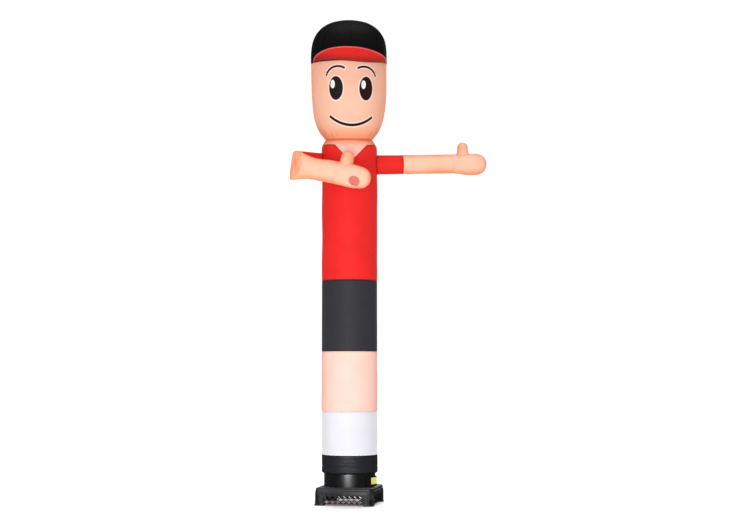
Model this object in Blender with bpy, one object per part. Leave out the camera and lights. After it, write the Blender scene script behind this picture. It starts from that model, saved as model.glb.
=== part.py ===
"""An inflatable air dancer, a cloth figure held up by the air of the fan blower that it is tied to.

The figure is a tall tube of coated nylon: cuff, sock, leg, shorts, shirt and neck panels, a head
with a peaked cap, one arm held out straight and one arm folded across the chest, with a thumb and an
air vent on each hand. Every panel is its own solid, a sheet sewn edge to edge with its neighbours.
Lengths are in metres and angles in degrees. The figure faces -Y, and its tube's axis is upright.
"""

import math

import bmesh
import bpy
import numpy as np
from mathutils import Matrix, Vector

# Where the tube's axis meets the ground. The origin is under the middle of the whole figure.
AXIS_X = -0.372
AXIS_Y = 0.169

# Cloth and the seams between its panels
CLOTH = 0.002
GAP = 0.0003
TUBE_SIDES = 28
ARM_SIDES = 16

# Blower: a moulded base on four legs, a duct ring on top of it, guards in its four arches
BASE_HALF = 0.267
BASE_HEIGHT = 0.162
BASE_WALL = 0.004
BASE_CORNER = 0.045
BASE_TOP_EDGE = 0.018
BASE_TURN = -11.65
BASE_SIDE = 0.0030
BASE_REACH = 0.4
ARCH_WIDTH = 0.378
ARCH_HEIGHT = 0.094
ARCH_CORNER = 0.030
FOOT_SIZE = 0.096
FOOT_HEIGHT = 0.007
FOOT_OUT = 0.009
FOOT_CORNER = 0.030
RING_RADIUS = 0.2375
RING_SIDE = 0.0035
RING_WALL = 0.0025
RING_TOP = 0.420
RING_SIDES = TUBE_SIDES

GUARD_THICK = 0.004
GUARD_MARGIN = 0.014
GUARD_BOTTOM = 0.014
DIAMOND_PITCH = 0.051
DIAMOND_ROWS = 2
DIAMONDS_WIDE = 7
DIAMOND_BAR = 0.006

SWITCH_TURN = 55.0
SWITCH_WIDTH = 0.100
SWITCH_DEPTH = 0.036
SWITCH_BOTTOM = 0.172
SWITCH_TOP = 0.262
SWITCH_EDGE = 0.006
SWITCH_INSIDE = 0.2
PLATE_WIDTH = 0.084
PLATE_BOTTOM = 0.191
PLATE_TOP = 0.251
PLATE_THICK = 0.002

# Seams between the tube's panels, as heights of the upright tube
CUFF_BOTTOM = 0.2815
HEM_TURN = 0.0013
CUFF_TOP = 0.4536
SOCK_TOP = 0.851
LEG_TOP = 1.403
SHORTS_TOP = 2.058
NECKLINE = 3.330
NECK_LOW = 3.348
NECK_MIDDLE = 3.367
NECK_TOP = 3.3857

# The tube's outline: its outer radius and sideways drift at each height. The hem is drawn in, a cord
# creases the cuff, and the cloth leans a little under the shoulders.
TUBE_OUTLINE = (
    # height, radius, side
    (CUFF_BOTTOM, RING_RADIUS + HEM_TURN, RING_SIDE),
    (0.2900, 0.2550, RING_SIDE),
    (0.3050, 0.2592, RING_SIDE),
    (0.3400, 0.2590, RING_SIDE),
    (0.3485, 0.2562, RING_SIDE),
    (0.3570, 0.2590, RING_SIDE),
    (CUFF_TOP, 0.2584, 0.0020),
    (0.6500, 0.2585, 0.0010),
    (SOCK_TOP, 0.2582, 0.0000),
    (1.1300, 0.2578, 0.0000),
    (LEG_TOP, 0.2577, 0.0000),
    (1.7300, 0.2575, 0.0000),
    (SHORTS_TOP, 0.2577, 0.0000),
    (2.6500, 0.2580, 0.0000),
    (3.2000, 0.2582, -0.0010),
    (3.2900, 0.2592, -0.0040),
    (3.3130, 0.2572, -0.0045),
    (3.3300, 0.2506, -0.0050),
    (NECK_LOW, 0.2421, -0.0055),
    (NECK_MIDDLE, 0.2290, -0.0065),
    (NECK_TOP, 0.2195, -0.0070),
)

# The neckline, seen from the front: level at the shoulders, then a V down to its tip
V_LEFT = (-0.1332, 3.3094)
V_TIP = (0.0117, 3.1420)
V_RIGHT = (0.1650, 3.3094)
SHIRT_DROP = 0.00060

# The solids that cut the neckline. Each stops short of the tube's side points, which lie on y = 0.
NECKLINE_REACH = 0.34
NECKLINE_FRONT_STOP = 0.0013
NECKLINE_BACK_STOP = -0.0007
NECKLINE_OVER = 3.45
NECKLINE_UNDER = 3.0

# The head turns and nods about the middle of the neck's top
HEAD_NOD = 6.5
HEAD_TURN = 4.0
CAP_RIM = 0.709

# The head's and cap's outline, along the head's own axis from the neck seam
HEAD_OUTLINE = (
    # along, radius
    (0.000, 0.2195),
    (0.030, 0.2440),
    (0.075, 0.2770),
    (0.130, 0.3020),
    (0.194, 0.3220),
    (0.280, 0.3360),
    (0.400, 0.3470),
    (0.520, 0.3510),
    (CAP_RIM, 0.3535),
)
CROWN_OUTLINE = (
    # along, radius
    (CAP_RIM, 0.3558),
    (0.800, 0.3550),
    (0.885, 0.3460),
    (0.955, 0.3230),
    (1.0125, 0.2835),
    (1.0595, 0.2270),
    (1.092, 0.1540),
    (1.111, 0.0600),
)

# The cap's peak: two crescents sewn together along the outer edge, with air between them
PEAK_LENGTH = 0.214
PEAK_LIFT = 27.7
PEAK_SPREAD = 67.0
PEAK_CHORD = 0.174
PEAK_HALF_WIDTH = 0.338
PEAK_DOME = 0.018
PEAK_ROOT_TOP = 0.016
PEAK_ROOT_BOTTOM = -0.002
PEAK_SAG = 0.021
PEAK_SAG_AT = 25.0
PEAK_SAG_SPREAD = 61.0
PEAK_GAP = 0.0014
PEAK_AROUND = 19
PEAK_OUT = 4

# Both arms: sections from the body outward. The sleeve is saddle-cut to the shirt.
ARM_RADIUS = 0.0888
STRAIGHT_HEIGHT = 3.148
STRAIGHT_YAW = 6.0
STRAIGHT_RISE = 1.93
STRAIGHT_ROOT = 0.160
STRAIGHT_SLEEVE_END = 0.509
STRAIGHT_WRIST = 0.978
ARMHOLE_SPAN = (0.12, 0.40)
ENVELOPE_BOTTOM = 2.9

STRAIGHT_ARM = (
    # along the arm's axis from the tube's axis, radius
    (STRAIGHT_ROOT, ARM_RADIUS),
    (0.330, ARM_RADIUS),
    (0.430, 0.0888),
    (STRAIGHT_SLEEVE_END, 0.0893),
    (0.540, 0.0901),
    (0.620, 0.0904),
    (0.760, 0.0905),
    (STRAIGHT_WRIST, 0.0909),
)

# A hand as it is cut, from the wrist seam: the lower edge bulges and the end is blunt
HAND_OUTLINE = (
    # along, radius, drop of the middle
    (0.000, 0.0911, 0.0000),
    (0.060, 0.0948, 0.0020),
    (0.115, 0.0990, 0.0055),
    (0.175, 0.1010, 0.0080),
    (0.230, 0.0990, 0.0085),
    (0.270, 0.0880, 0.0080),
    (0.300, 0.0640, 0.0070),
    (0.318, 0.0300, 0.0060),
)
STRAIGHT_THUMB_ALONG = 0.097
FOLDED_THUMB_ALONG = 0.066
STRAIGHT_THUMB = (
    # height over the hand's middle, radius
    (0.040, 0.0660),
    (0.088, 0.0640),
    (0.112, 0.0585),
    (0.160, 0.0545),
    (0.189, 0.0435),
    (0.206, 0.0190),
)
FOLDED_THUMB = (
    # height over the hand's middle, radius
    (0.040, 0.0590),
    (0.088, 0.0600),
    (0.118, 0.0610),
    (0.165, 0.0585),
    (0.195, 0.0470),
    (0.214, 0.0200),
)
THUMB_HOLE = 0.050
THUMB_HOLE_SPAN = (0.03, 0.16)
VENT_ALONG = 0.199
VENT_HALF_WIDTH = 0.045
VENT_HALF_HEIGHT = 0.036
VENT_DROP = 0.046
VENT_SPAN = (0.02, 0.16)

# The folded arm, seen from above: each section runs from the outer wall to the inner wall. It is
# flat and tall at the fold, where the two limbs meet.
FOLDED_ARM = (
    # outer x, outer y, inner x, inner y, middle height, half height, lean of the section's top
    (-0.1830, 0.1450, -0.0700, -0.0010, 3.165, 0.0926, 0.0),
    (-0.3160, 0.0410, -0.2200, -0.0830, 3.163, 0.0960, 0.0),
    (-0.3900, -0.0180, -0.3200, -0.1150, 3.156, 0.1060, 1.0),
    (-0.4700, -0.0920, -0.4160, -0.1520, 3.145, 0.1180, 2.0),
    (-0.5190, -0.1500, -0.4840, -0.1730, 3.135, 0.1280, 4.5),
    (-0.5395, -0.1850, -0.5115, -0.1880, 3.123, 0.1310, 7.0),
    (-0.5410, -0.2020, -0.5145, -0.1960, 3.119, 0.1300, 7.0),
    (-0.5310, -0.2180, -0.5060, -0.2030, 3.115, 0.1290, 7.5),
    (-0.4950, -0.2440, -0.4720, -0.2030, 3.114, 0.1300, 8.5),
    (-0.4510, -0.2670, -0.4300, -0.2000, 3.107, 0.1220, 10.0),
    (-0.4080, -0.2890, -0.3830, -0.1990, 3.096, 0.1105, 12.0),
    (-0.3500, -0.3170, -0.3190, -0.1990, 3.0835, 0.1000, 13.0),
    (-0.2760, -0.3450, -0.2400, -0.2080, 3.0655, 0.1015, 13.2),
)
FOLDED_SEAM_ROW = 3
FOLDED_ARMHOLE = 0.977
FORE_SLOPE = -13.2
FORE_YAW = -14.7
FORE_CLOSEST = 0.3408
FORE_HALF_DEPTH = 0.0735
FORE_HALF_HEIGHT = 0.1045
FOLDED_WRIST = -0.0230
FORE_MID = -0.1250
FORE_HEIGHT = 3.0260
HAND_FLAT = (
    # along the hand, half depth and half height as shares of the radius
    (0.000, 0.81, 1.147),
    (0.100, 0.84, 1.080),
    (0.175, 0.88, 1.045),
    (0.230, 0.94, 0.990),
    (0.320, 1.00, 0.980),
)

COLOURS = {
    # name: (red, green, blue), roughness, metallic
    "red_nylon": ((0.78, 0.035, 0.030), 0.45, 0.0),
    "skin_nylon": ((0.90, 0.56, 0.40), 0.45, 0.0),
    "charcoal_nylon": ((0.052, 0.050, 0.056), 0.45, 0.0),
    "black_nylon": ((0.012, 0.012, 0.013), 0.45, 0.0),
    "white_nylon": ((0.86, 0.86, 0.88), 0.45, 0.0),
    "black_plastic": ((0.022, 0.023, 0.026), 0.35, 0.0),
    "black_paint": ((0.012, 0.012, 0.014), 0.20, 0.0),
    "yellow_plate": ((0.70, 0.60, 0.09), 0.40, 0.0),
}


def clear_scene():
    """Remove every object of the scene."""
    for obj in list(bpy.data.objects):
        bpy.data.objects.remove(obj, do_unlink=True)


def material(name):
    """A Principled material by its name in COLOURS, made once."""
    found = bpy.data.materials.get(name)
    if found:
        return found
    colour, roughness, metallic = COLOURS[name]
    made = bpy.data.materials.new(name)
    made.use_nodes = True
    shader = made.node_tree.nodes["Principled BSDF"]
    shader.inputs["Base Color"].default_value = (*colour, 1.0)
    shader.inputs["Roughness"].default_value = roughness
    shader.inputs["Metallic"].default_value = metallic
    made.diffuse_color = (*colour, 1.0)
    return made


def empty(name, parent=None, location=(0.0, 0.0, 0.0)):
    """An empty that pieces are placed by."""
    frame = bpy.data.objects.new(name, None)
    frame.location = location
    frame.parent = parent
    bpy.context.scene.collection.objects.link(frame)
    return frame


def piece(name, bm, parent, finish, smooth=True):
    """An object from a bmesh, shaded smooth with its sharp edges kept."""
    mesh = bpy.data.meshes.new(name)
    bm.to_mesh(mesh)
    bm.free()
    obj = bpy.data.objects.new(name, mesh)
    obj.parent = parent
    bpy.context.scene.collection.objects.link(obj)
    mesh.materials.append(material(finish))
    if smooth:
        mesh.shade_smooth()
        mesh.set_sharp_from_angle(angle=math.radians(35))
    return obj


def cutter(name, bm, parent):
    """A closed helper solid that is not part of the object."""
    obj = piece(name, bm, parent, "black_plastic", smooth=False)
    obj.hide_render = True
    obj.display_type = "WIRE"
    return obj


def boolean(obj, other, operation="DIFFERENCE"):
    """Add a Boolean modifier to obj."""
    modifier = obj.modifiers.new(f"{operation.lower()}_{other.name}", "BOOLEAN")
    modifier.operation = operation
    modifier.solver = "EXACT"
    modifier.object = other


def thicken(obj, thickness=CLOTH, offset=-1.0):
    """Give a surface its thickness, inward by default."""
    modifier = obj.modifiers.new("thickness", "SOLIDIFY")
    modifier.thickness = thickness
    modifier.offset = offset
    modifier.use_even_offset = True
    modifier.use_rim = True


def face_outward(bm):
    """Turn a tube's faces away from its middle."""
    bmesh.ops.recalc_face_normals(bm, faces=bm.faces)
    middle = sum((v.co for v in bm.verts), Vector()) / len(bm.verts)
    outward = sum(f.calc_area() * f.normal.dot(f.calc_center_median() - middle) for f in bm.faces)
    if outward < 0:
        bmesh.ops.reverse_faces(bm, faces=bm.faces)


def loft(sections, sides, close_start=False, close_end=False):
    """A surface through oval sections, each a matrix that places a unit circle."""
    bm = bmesh.new()
    rings = []
    for matrix in sections:
        made = bmesh.ops.create_circle(bm, segments=sides, radius=1.0, matrix=matrix)
        rings.append(list({edge for vert in made["verts"] for edge in vert.link_edges}))
    for lower, upper in zip(rings, rings[1:]):
        bmesh.ops.bridge_loops(bm, edges=lower + upper)
    for ring, wanted in ((rings[0], close_start), (rings[-1], close_end)):
        if wanted:
            bmesh.ops.edgeloop_fill(bm, edges=ring)
    face_outward(bm)
    return bm


def open_shell(sections, sides):
    """A sheet through oval sections, open at both ends, with its ends flat in their sections."""
    bm = bmesh.new()
    walls = []
    for depth in (0.0, CLOTH):
        rings = []
        for matrix in sections:
            across, up = (matrix.col[0].length, matrix.col[1].length)
            shrink = Matrix.Diagonal((1.0 - depth / across, 1.0 - depth / up, 1.0, 1.0))
            made = bmesh.ops.create_circle(bm, segments=sides, radius=1.0, matrix=matrix @ shrink)
            rings.append(made["verts"])
        for lower, upper in zip(rings, rings[1:]):
            lower_edges = [e for e in bm.edges if e.verts[0] in lower and e.verts[1] in lower]
            upper_edges = [e for e in bm.edges if e.verts[0] in upper and e.verts[1] in upper]
            bmesh.ops.bridge_loops(bm, edges=lower_edges + upper_edges)
        walls.append(rings)
    for end in (0, -1):
        outer, inner = walls[0][end], walls[1][end]
        for index in range(sides):
            following = (index + 1) % sides
            bm.faces.new((outer[index], outer[following], inner[following], inner[index]))
    bmesh.ops.recalc_face_normals(bm, faces=bm.faces)
    return bm


def box(lower, upper):
    """A bmesh box between two corners."""
    bm = bmesh.new()
    size = Vector(upper) - Vector(lower)
    middle = (Vector(upper) + Vector(lower)) / 2
    bmesh.ops.create_cube(bm, size=1.0, matrix=Matrix.Translation(middle) @ Matrix.Diagonal((*size, 1.0)))
    return bm


def prism(points, y_from, y_to):
    """A solid with an outline in the XZ plane, from y_from to y_to."""
    bm = bmesh.new()
    front = bm.faces.new([bm.verts.new((x, y_from, z)) for x, z in points])
    made = bmesh.ops.extrude_face_region(bm, geom=[front], use_keep_orig=True)
    moved = [item for item in made["geom"] if isinstance(item, bmesh.types.BMVert)]
    bmesh.ops.translate(bm, verts=moved, vec=(0.0, y_to - y_from, 0.0))
    bmesh.ops.recalc_face_normals(bm, faces=bm.faces)
    return bm


def column(index, rows):
    """One column of a table, as an array."""
    return np.array([row[index] for row in rows])


def tube_radius(height):
    """The tube's outer radius at a height."""
    return float(np.interp(height, column(0, TUBE_OUTLINE), column(1, TUBE_OUTLINE)))


def tube_side(height):
    """How far the tube's middle lies to the right of its axis at a height."""
    return float(np.interp(height, column(0, TUBE_OUTLINE), column(2, TUBE_OUTLINE)))


def level_rings(bottom, top, grow=0.0):
    """Circle matrices of the tube between two heights, with a ring at every row of its outline."""
    inner = [row[0] for row in TUBE_OUTLINE if bottom + 0.002 < row[0] < top - 0.002]
    heights = [bottom, *inner, top]
    return [ring_matrix(height, tube_radius(height) + grow) for height in heights]


def ring_matrix(height, radius, tilt=0.0):
    """A circle round the tube's middle. With a tilt of 1 it lies where the head is sewn on."""
    place = Matrix.Translation((tube_side(height), 0.0, height))
    turn = Matrix.Rotation(math.radians(HEAD_NOD * tilt), 4, "X")
    return place @ turn @ Matrix.Diagonal((radius, radius, 1.0, 1.0))


def axis_rings(outline, grow=0.0):
    """Circle matrices about the local Z axis, from rows of height and radius."""
    return [
        Matrix.Translation((0.0, 0.0, row[0])) @ Matrix.Diagonal((row[1] + grow, row[1] + grow, 1.0, 1.0))
        for row in outline
    ]


def trimmed(outline, start, end):
    """An outline between two heights, with its ends half a seam's gap short of them."""
    low, high = start + GAP / 2, end - GAP / 2
    rows = [(low, float(np.interp(low, column(0, outline), column(1, outline))))]
    rows += [(row[0], row[1]) for row in outline if low + 0.002 < row[0] < high - 0.002]
    rows += [(high, float(np.interp(high, column(0, outline), column(1, outline))))]
    return rows


def tube_panel(name, bottom, top, finish, parent):
    """A plain panel of the tube, from seam to seam."""
    rings = level_rings(bottom + GAP / 2, top - GAP / 2)
    panel = piece(name, loft(rings, TUBE_SIDES), parent, finish)
    thicken(panel)
    return panel


def neckline_points(drop):
    """The neckline from shoulder to shoulder, with its ends out past the tube."""
    side = tube_radius(NECKLINE)
    left = [(-NECKLINE_REACH, NECKLINE), (-side, NECKLINE), V_LEFT]
    right = [V_RIGHT, (side, NECKLINE), (NECKLINE_REACH, NECKLINE)]
    return [(x, z - drop) for x, z in (*left, V_TIP, *right)]


def neckline_cutters(parent, drop, height, label):
    """Two solids that reach from the neckline to a height, the front one following the V."""
    reach = NECKLINE_REACH
    outline = [*neckline_points(drop), (reach, height), (-reach, height)]
    front = prism(outline, -reach, NECKLINE_FRONT_STOP)
    low, high = sorted((NECKLINE - drop, height))
    back = box((-reach, NECKLINE_BACK_STOP, low), (reach, reach, high))
    return cutter(f"{label}_front", front, parent), cutter(f"{label}_back", back, parent)


def shirt_panel(parent):
    """The shirt, cut along the neckline and its V."""
    rings = level_rings(SHORTS_TOP + GAP / 2, NECK_LOW)
    shirt = piece("shirt_panel", loft(rings, TUBE_SIDES), parent, "red_nylon")
    thicken(shirt)
    for tool in neckline_cutters(parent, SHIRT_DROP, NECKLINE_OVER, "over_neckline"):
        boolean(shirt, tool)
    return shirt


def neck_panel(parent):
    """The neck with its V-shaped front, up to the head's tilted seam."""
    rings = level_rings(V_TIP[1] - 0.02, NECK_LOW)
    rings.append(ring_matrix(NECK_MIDDLE, tube_radius(NECK_MIDDLE), 0.5))
    rings.append(ring_matrix(NECK_TOP - GAP / 2, tube_radius(NECK_TOP), 1.0))
    neck = piece("neck_panel", loft(rings, TUBE_SIDES), parent, "skin_nylon")
    thicken(neck)
    for tool in neckline_cutters(parent, 0.0, NECKLINE_UNDER, "under_neckline"):
        boolean(neck, tool)
    return neck


def head_frame(parent):
    """The empty that turns the head about its own axis, and then nods it."""
    frame = empty("head_frame", parent, (tube_side(NECK_TOP), 0.0, NECK_TOP))
    frame.rotation_mode = "ZXY"
    frame.rotation_euler = (math.radians(HEAD_NOD), 0.0, math.radians(HEAD_TURN))
    return frame


def head_panel(frame):
    """The head, from the neck seam to the cap's rim."""
    rings = axis_rings(trimmed(HEAD_OUTLINE, 0.0, CAP_RIM))
    head = piece("head_panel", loft(rings, TUBE_SIDES), frame, "skin_nylon")
    thicken(head)


def cap_crown(frame):
    """The cap's domed crown, closed at its top."""
    rows = [(CROWN_OUTLINE[0][0] + GAP / 2, CROWN_OUTLINE[0][1]), *CROWN_OUTLINE[1:]]
    crown = piece("cap_crown", loft(axis_rings(rows), TUBE_SIDES, close_end=True), frame, "black_nylon")
    thicken(crown)


def crown_radius(along):
    """The outer radius of the head or the cap at a distance along the head's axis."""
    rows = HEAD_OUTLINE if along < CAP_RIM else CROWN_OUTLINE
    return float(np.interp(along, column(0, rows), column(1, rows)))


def peak_reach(angle):
    """How far the peak stands out from the cap's rim at an angle from its front: an oval's outline."""
    forward = crown_radius(CAP_RIM) + PEAK_LENGTH - PEAK_CHORD
    sine, cosine = math.sin(angle) / PEAK_HALF_WIDTH, math.cos(angle) / forward
    offset = PEAK_CHORD / forward
    square = sine**2 + cosine**2
    root = math.sqrt((cosine * offset) ** 2 - square * (offset**2 - 1.0))
    return (cosine * offset + root) / square - crown_radius(CAP_RIM)


def peak_sag(angle):
    """How far the peak hangs down on one side of its front."""
    share = (math.degrees(angle) - PEAK_SAG_AT) / PEAK_SAG_SPREAD
    return PEAK_SAG * math.cos(math.pi / 2 * min(1.0, abs(share))) ** 2


def peak_point(share_round, share_out, top):
    """A point of the peak's inner face: round the cap's front, and out from the cap to the seam."""
    angle = math.radians(PEAK_SPREAD) * share_round
    out = peak_reach(angle)
    if top:
        root_height = CAP_RIM + PEAK_ROOT_TOP
        start = crown_radius(root_height) + CLOTH + PEAK_GAP / 3
    else:
        root_height = CAP_RIM + PEAK_ROOT_BOTTOM - peak_sag(angle)
        start = crown_radius(root_height) + PEAK_GAP
    edge_height = CAP_RIM + out * math.tan(math.radians(PEAK_LIFT)) - peak_sag(angle)
    edge_height += GAP / 2 if top else -GAP / 2
    bulge = PEAK_DOME * math.sin(math.pi * share_out) * min(1.0, out / PEAK_LENGTH)
    radius = start + share_out * (crown_radius(CAP_RIM) + out - start)
    height = root_height + share_out * (edge_height - root_height) + (bulge if top else -bulge)
    return Vector((radius * math.sin(angle), -radius * math.cos(angle), height))


def peak_sheet(name, top, finish, frame):
    """One crescent of the peak."""
    bm = bmesh.new()
    bmesh.ops.create_grid(bm, x_segments=PEAK_AROUND, y_segments=PEAK_OUT, size=1.0)
    for vert in bm.verts:
        vert.co = peak_point(vert.co.x, (vert.co.y + 1.0) / 2.0, top)
    bm.normal_update()
    upward = sum(face.normal.z for face in bm.faces)
    if (upward > 0) != top:
        bmesh.ops.reverse_faces(bm, faces=bm.faces)
    sheet = piece(name, bm, frame, finish)
    thicken(sheet, offset=1.0)


def along_matrix(origin, yaw, pitch, along, half_depth, half_height, drop=0.0):
    """An oval section square to a straight limb, at a distance along it."""
    turn = Matrix.Rotation(math.radians(yaw), 4, "Z") @ Matrix.Rotation(math.radians(-pitch), 4, "Y")
    # The circle's own X goes down the limb's height and its Y across its depth.
    stand = Matrix.Rotation(math.radians(90), 4, "Y")
    size = Matrix.Diagonal((half_height, half_depth, 1.0, 1.0))
    return Matrix.Translation(origin) @ turn @ Matrix.Translation((along, 0.0, -drop)) @ stand @ size


def limb_frame(name, parent, origin, yaw, pitch):
    """An empty at the start of a straight limb, with its X axis along the limb."""
    frame = empty(name, parent, origin)
    frame.rotation_euler = (0.0, math.radians(-pitch), math.radians(yaw))
    return frame


def limb_section(along, half_depth, half_height, drop=0.0):
    """An oval section square to the local X axis."""
    return along_matrix((0.0, 0.0, 0.0), 0.0, 0.0, along, half_depth, half_height, drop)


def straight_rows(start, end):
    """The straight arm's sections between two seams."""
    return [limb_section(along, radius, radius) for along, radius in trimmed(STRAIGHT_ARM, start, end)]


def flat_share(along, index):
    """How flat or how tall the folded hand is, as a share of its radius."""
    return float(np.interp(along, column(0, HAND_FLAT), column(index, HAND_FLAT)))


def hand_sections(wrist, flat, grow=0.0):
    """The hand's sections from the wrist seam to its blunt end. The flat hand hangs level."""
    rows = []
    for index, (along, radius, drop) in enumerate(HAND_OUTLINE):
        half_depth = radius * (flat_share(along, 1) if flat else 1.0) + grow
        half_height = radius * (flat_share(along, 2) if flat else 1.0) + grow
        start = GAP / 2 if index == 0 else 0.0
        sink = 0.0 if flat else drop
        rows.append(limb_section(wrist + along + start, half_depth, half_height, sink))
    return rows


def thumb_and_vent(label, frame, hand, wrist, flat, vent_side):
    """The thumb with its hole in the hand, and the vent in the hand's side."""
    middle = wrist + (FOLDED_THUMB_ALONG if flat else STRAIGHT_THUMB_ALONG)
    outline = FOLDED_THUMB if flat else STRAIGHT_THUMB
    around = loft(hand_sections(wrist, flat, 2 * GAP), ARM_SIDES, True, True)
    envelope = cutter(f"{label}_hand_envelope", around, frame)
    rings = [
        Matrix.Translation((middle, 0.0, height)) @ Matrix.Diagonal((radius, radius, 1.0, 1.0))
        for height, radius in outline
    ]
    thumb = piece(f"{label}_thumb", loft(rings, ARM_SIDES, close_end=True), frame, "skin_nylon")
    thicken(thumb)
    boolean(thumb, envelope)
    hole = [
        Matrix.Translation((middle, 0.0, height)) @ Matrix.Diagonal((THUMB_HOLE, THUMB_HOLE, 1.0, 1.0))
        for height in THUMB_HOLE_SPAN
    ]
    boolean(hand, cutter(f"{label}_thumb_hole", loft(hole, ARM_SIDES, True, True), frame))
    turn = Matrix.Rotation(math.radians(90), 4, "X")
    size = Matrix.Diagonal((VENT_HALF_WIDTH, VENT_HALF_HEIGHT, 1.0, 1.0))
    vent = [
        Matrix.Translation((wrist + VENT_ALONG, vent_side * depth, -VENT_DROP)) @ turn @ size
        for depth in VENT_SPAN
    ]
    boolean(hand, cutter(f"{label}_vent_hole", loft(vent, ARM_SIDES, True, True), frame))


def straight_arm(parent, shirt, envelope):
    """The arm held out to +X: sleeve, forearm, hand and thumb, with its vent at the back."""
    root = (0.0, 0.0, STRAIGHT_HEIGHT)
    frame = limb_frame("straight_arm_frame", parent, root, STRAIGHT_YAW, STRAIGHT_RISE)
    rows = straight_rows(STRAIGHT_ROOT, STRAIGHT_SLEEVE_END)
    sleeve = piece("straight_sleeve", loft(rows, ARM_SIDES), frame, "red_nylon")
    thicken(sleeve)
    hole_radius = ARM_RADIUS - CLOTH
    hole = [limb_section(along, hole_radius, hole_radius) for along in ARMHOLE_SPAN]
    boolean(sleeve, envelope)
    boolean(shirt, cutter("straight_armhole", loft(hole, ARM_SIDES, True, True), frame))
    rows = straight_rows(STRAIGHT_SLEEVE_END, STRAIGHT_WRIST)
    thicken(piece("straight_forearm", loft(rows, ARM_SIDES), frame, "skin_nylon"))
    rows = hand_sections(STRAIGHT_WRIST, False)
    hand = piece("straight_hand", loft(rows, ARM_SIDES, close_end=True), frame, "skin_nylon")
    thicken(hand)
    thumb_and_vent("straight", frame, hand, STRAIGHT_WRIST, False, 1.0)


def fold_section(row, nudge=0.0):
    """A section of the folded arm, from its outer to its inner wall, upright but for its lean."""
    outer_x, outer_y, inner_x, inner_y, height, half_height, lean = row
    outer = Vector((outer_x, outer_y, 0.0))
    inner = Vector((inner_x, inner_y, 0.0))
    across = (inner - outer) / 2
    middle = (inner + outer) / 2 + Vector((0.0, 0.0, height))
    up = Vector((math.sin(math.radians(lean)), 0.0, math.cos(math.radians(lean))))
    forward = across.cross(up).normalized()
    middle = middle + forward * nudge
    up_scaled = up * half_height
    return Matrix(
        (
            (-up_scaled.x, across.x, forward.x, middle.x),
            (-up_scaled.y, across.y, forward.y, middle.y),
            (-up_scaled.z, across.z, forward.z, middle.z),
            (0.0, 0.0, 0.0, 1.0),
        )
    )


def folded_arm(parent, shirt, envelope):
    """The arm folded across the chest: sleeve, forearm with the fold, hand and thumb."""
    sections = [fold_section(row) for row in FOLDED_ARM]
    seam = FOLDED_ARM[FOLDED_SEAM_ROW]
    sleeve_rows = sections[:FOLDED_SEAM_ROW] + [fold_section(seam, -GAP / 2)]
    sleeve = piece("folded_sleeve", open_shell(sleeve_rows, ARM_SIDES), parent, "red_nylon")
    boolean(sleeve, envelope)
    shrink = Matrix.Diagonal((FOLDED_ARMHOLE, FOLDED_ARMHOLE, 1.0, 1.0))
    hole = [fold_section(row) @ shrink for row in FOLDED_ARM[:2]]
    boolean(shirt, cutter("folded_armhole", loft(hole, ARM_SIDES, True, True), parent))

    # The fore limb is straight from the chest's left side on. Its frame's X axis runs along it.
    turn = math.radians(FORE_YAW)
    closest = Vector((math.sin(turn), -math.cos(turn), 0.0)) * FORE_CLOSEST
    root = (closest.x, closest.y, FORE_HEIGHT)
    frame = limb_frame("folded_arm_frame", parent, root, FORE_YAW, FORE_SLOPE)
    place = Matrix.Translation(root)
    place = place @ Matrix.Rotation(turn, 4, "Z") @ Matrix.Rotation(math.radians(-FORE_SLOPE), 4, "Y")
    fore = [
        place @ limb_section(along, FORE_HALF_DEPTH, FORE_HALF_HEIGHT)
        for along in (FORE_MID, FOLDED_WRIST - GAP / 2)
    ]
    rows = [fold_section(seam, GAP / 2), *sections[FOLDED_SEAM_ROW + 1 :], *fore]
    piece("folded_forearm", open_shell(rows, ARM_SIDES), parent, "skin_nylon")
    rows = hand_sections(FOLDED_WRIST, True)
    hand = piece("folded_hand", loft(rows, ARM_SIDES, close_end=True), frame, "skin_nylon")
    thicken(hand)
    thumb_and_vent("folded", frame, hand, FOLDED_WRIST, True, -1.0)


def torso(parent):
    """The tube's panels, and the arms that are sewn into the shirt."""
    tube_panel("cuff", CUFF_BOTTOM - GAP / 2, CUFF_TOP, "black_nylon", parent)
    tube_panel("sock_panel", CUFF_TOP, SOCK_TOP, "white_nylon", parent)
    tube_panel("leg_panel", SOCK_TOP, LEG_TOP, "skin_nylon", parent)
    tube_panel("shorts_panel", LEG_TOP, SHORTS_TOP, "charcoal_nylon", parent)
    shirt = shirt_panel(parent)
    neck_panel(parent)
    around = loft(level_rings(ENVELOPE_BOTTOM, NECKLINE, GAP), TUBE_SIDES, True, True)
    envelope = cutter("shirt_envelope", around, parent)
    straight_arm(parent, shirt, envelope)
    folded_arm(parent, shirt, envelope)


def rounded_box(lower, upper, corner, top_edge=0.0, segments=4):
    """A box with rounded upright edges, and optionally a rounded top edge."""
    bm = box(lower, upper)
    upright = [e for e in bm.edges if abs((e.verts[0].co - e.verts[1].co).normalized().z) > 0.9]
    bmesh.ops.bevel(
        bm, geom=upright, offset=corner, segments=segments, profile=0.5, affect="EDGES", material=-1
    )
    if top_edge:
        high = upper[2] - 1e-5
        rim = [e for e in bm.edges if all(v.co.z > high for v in e.verts)]
        bmesh.ops.bevel(
            bm, geom=rim, offset=top_edge, segments=3, profile=0.5, affect="EDGES", material=-1
        )
    return bm


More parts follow.
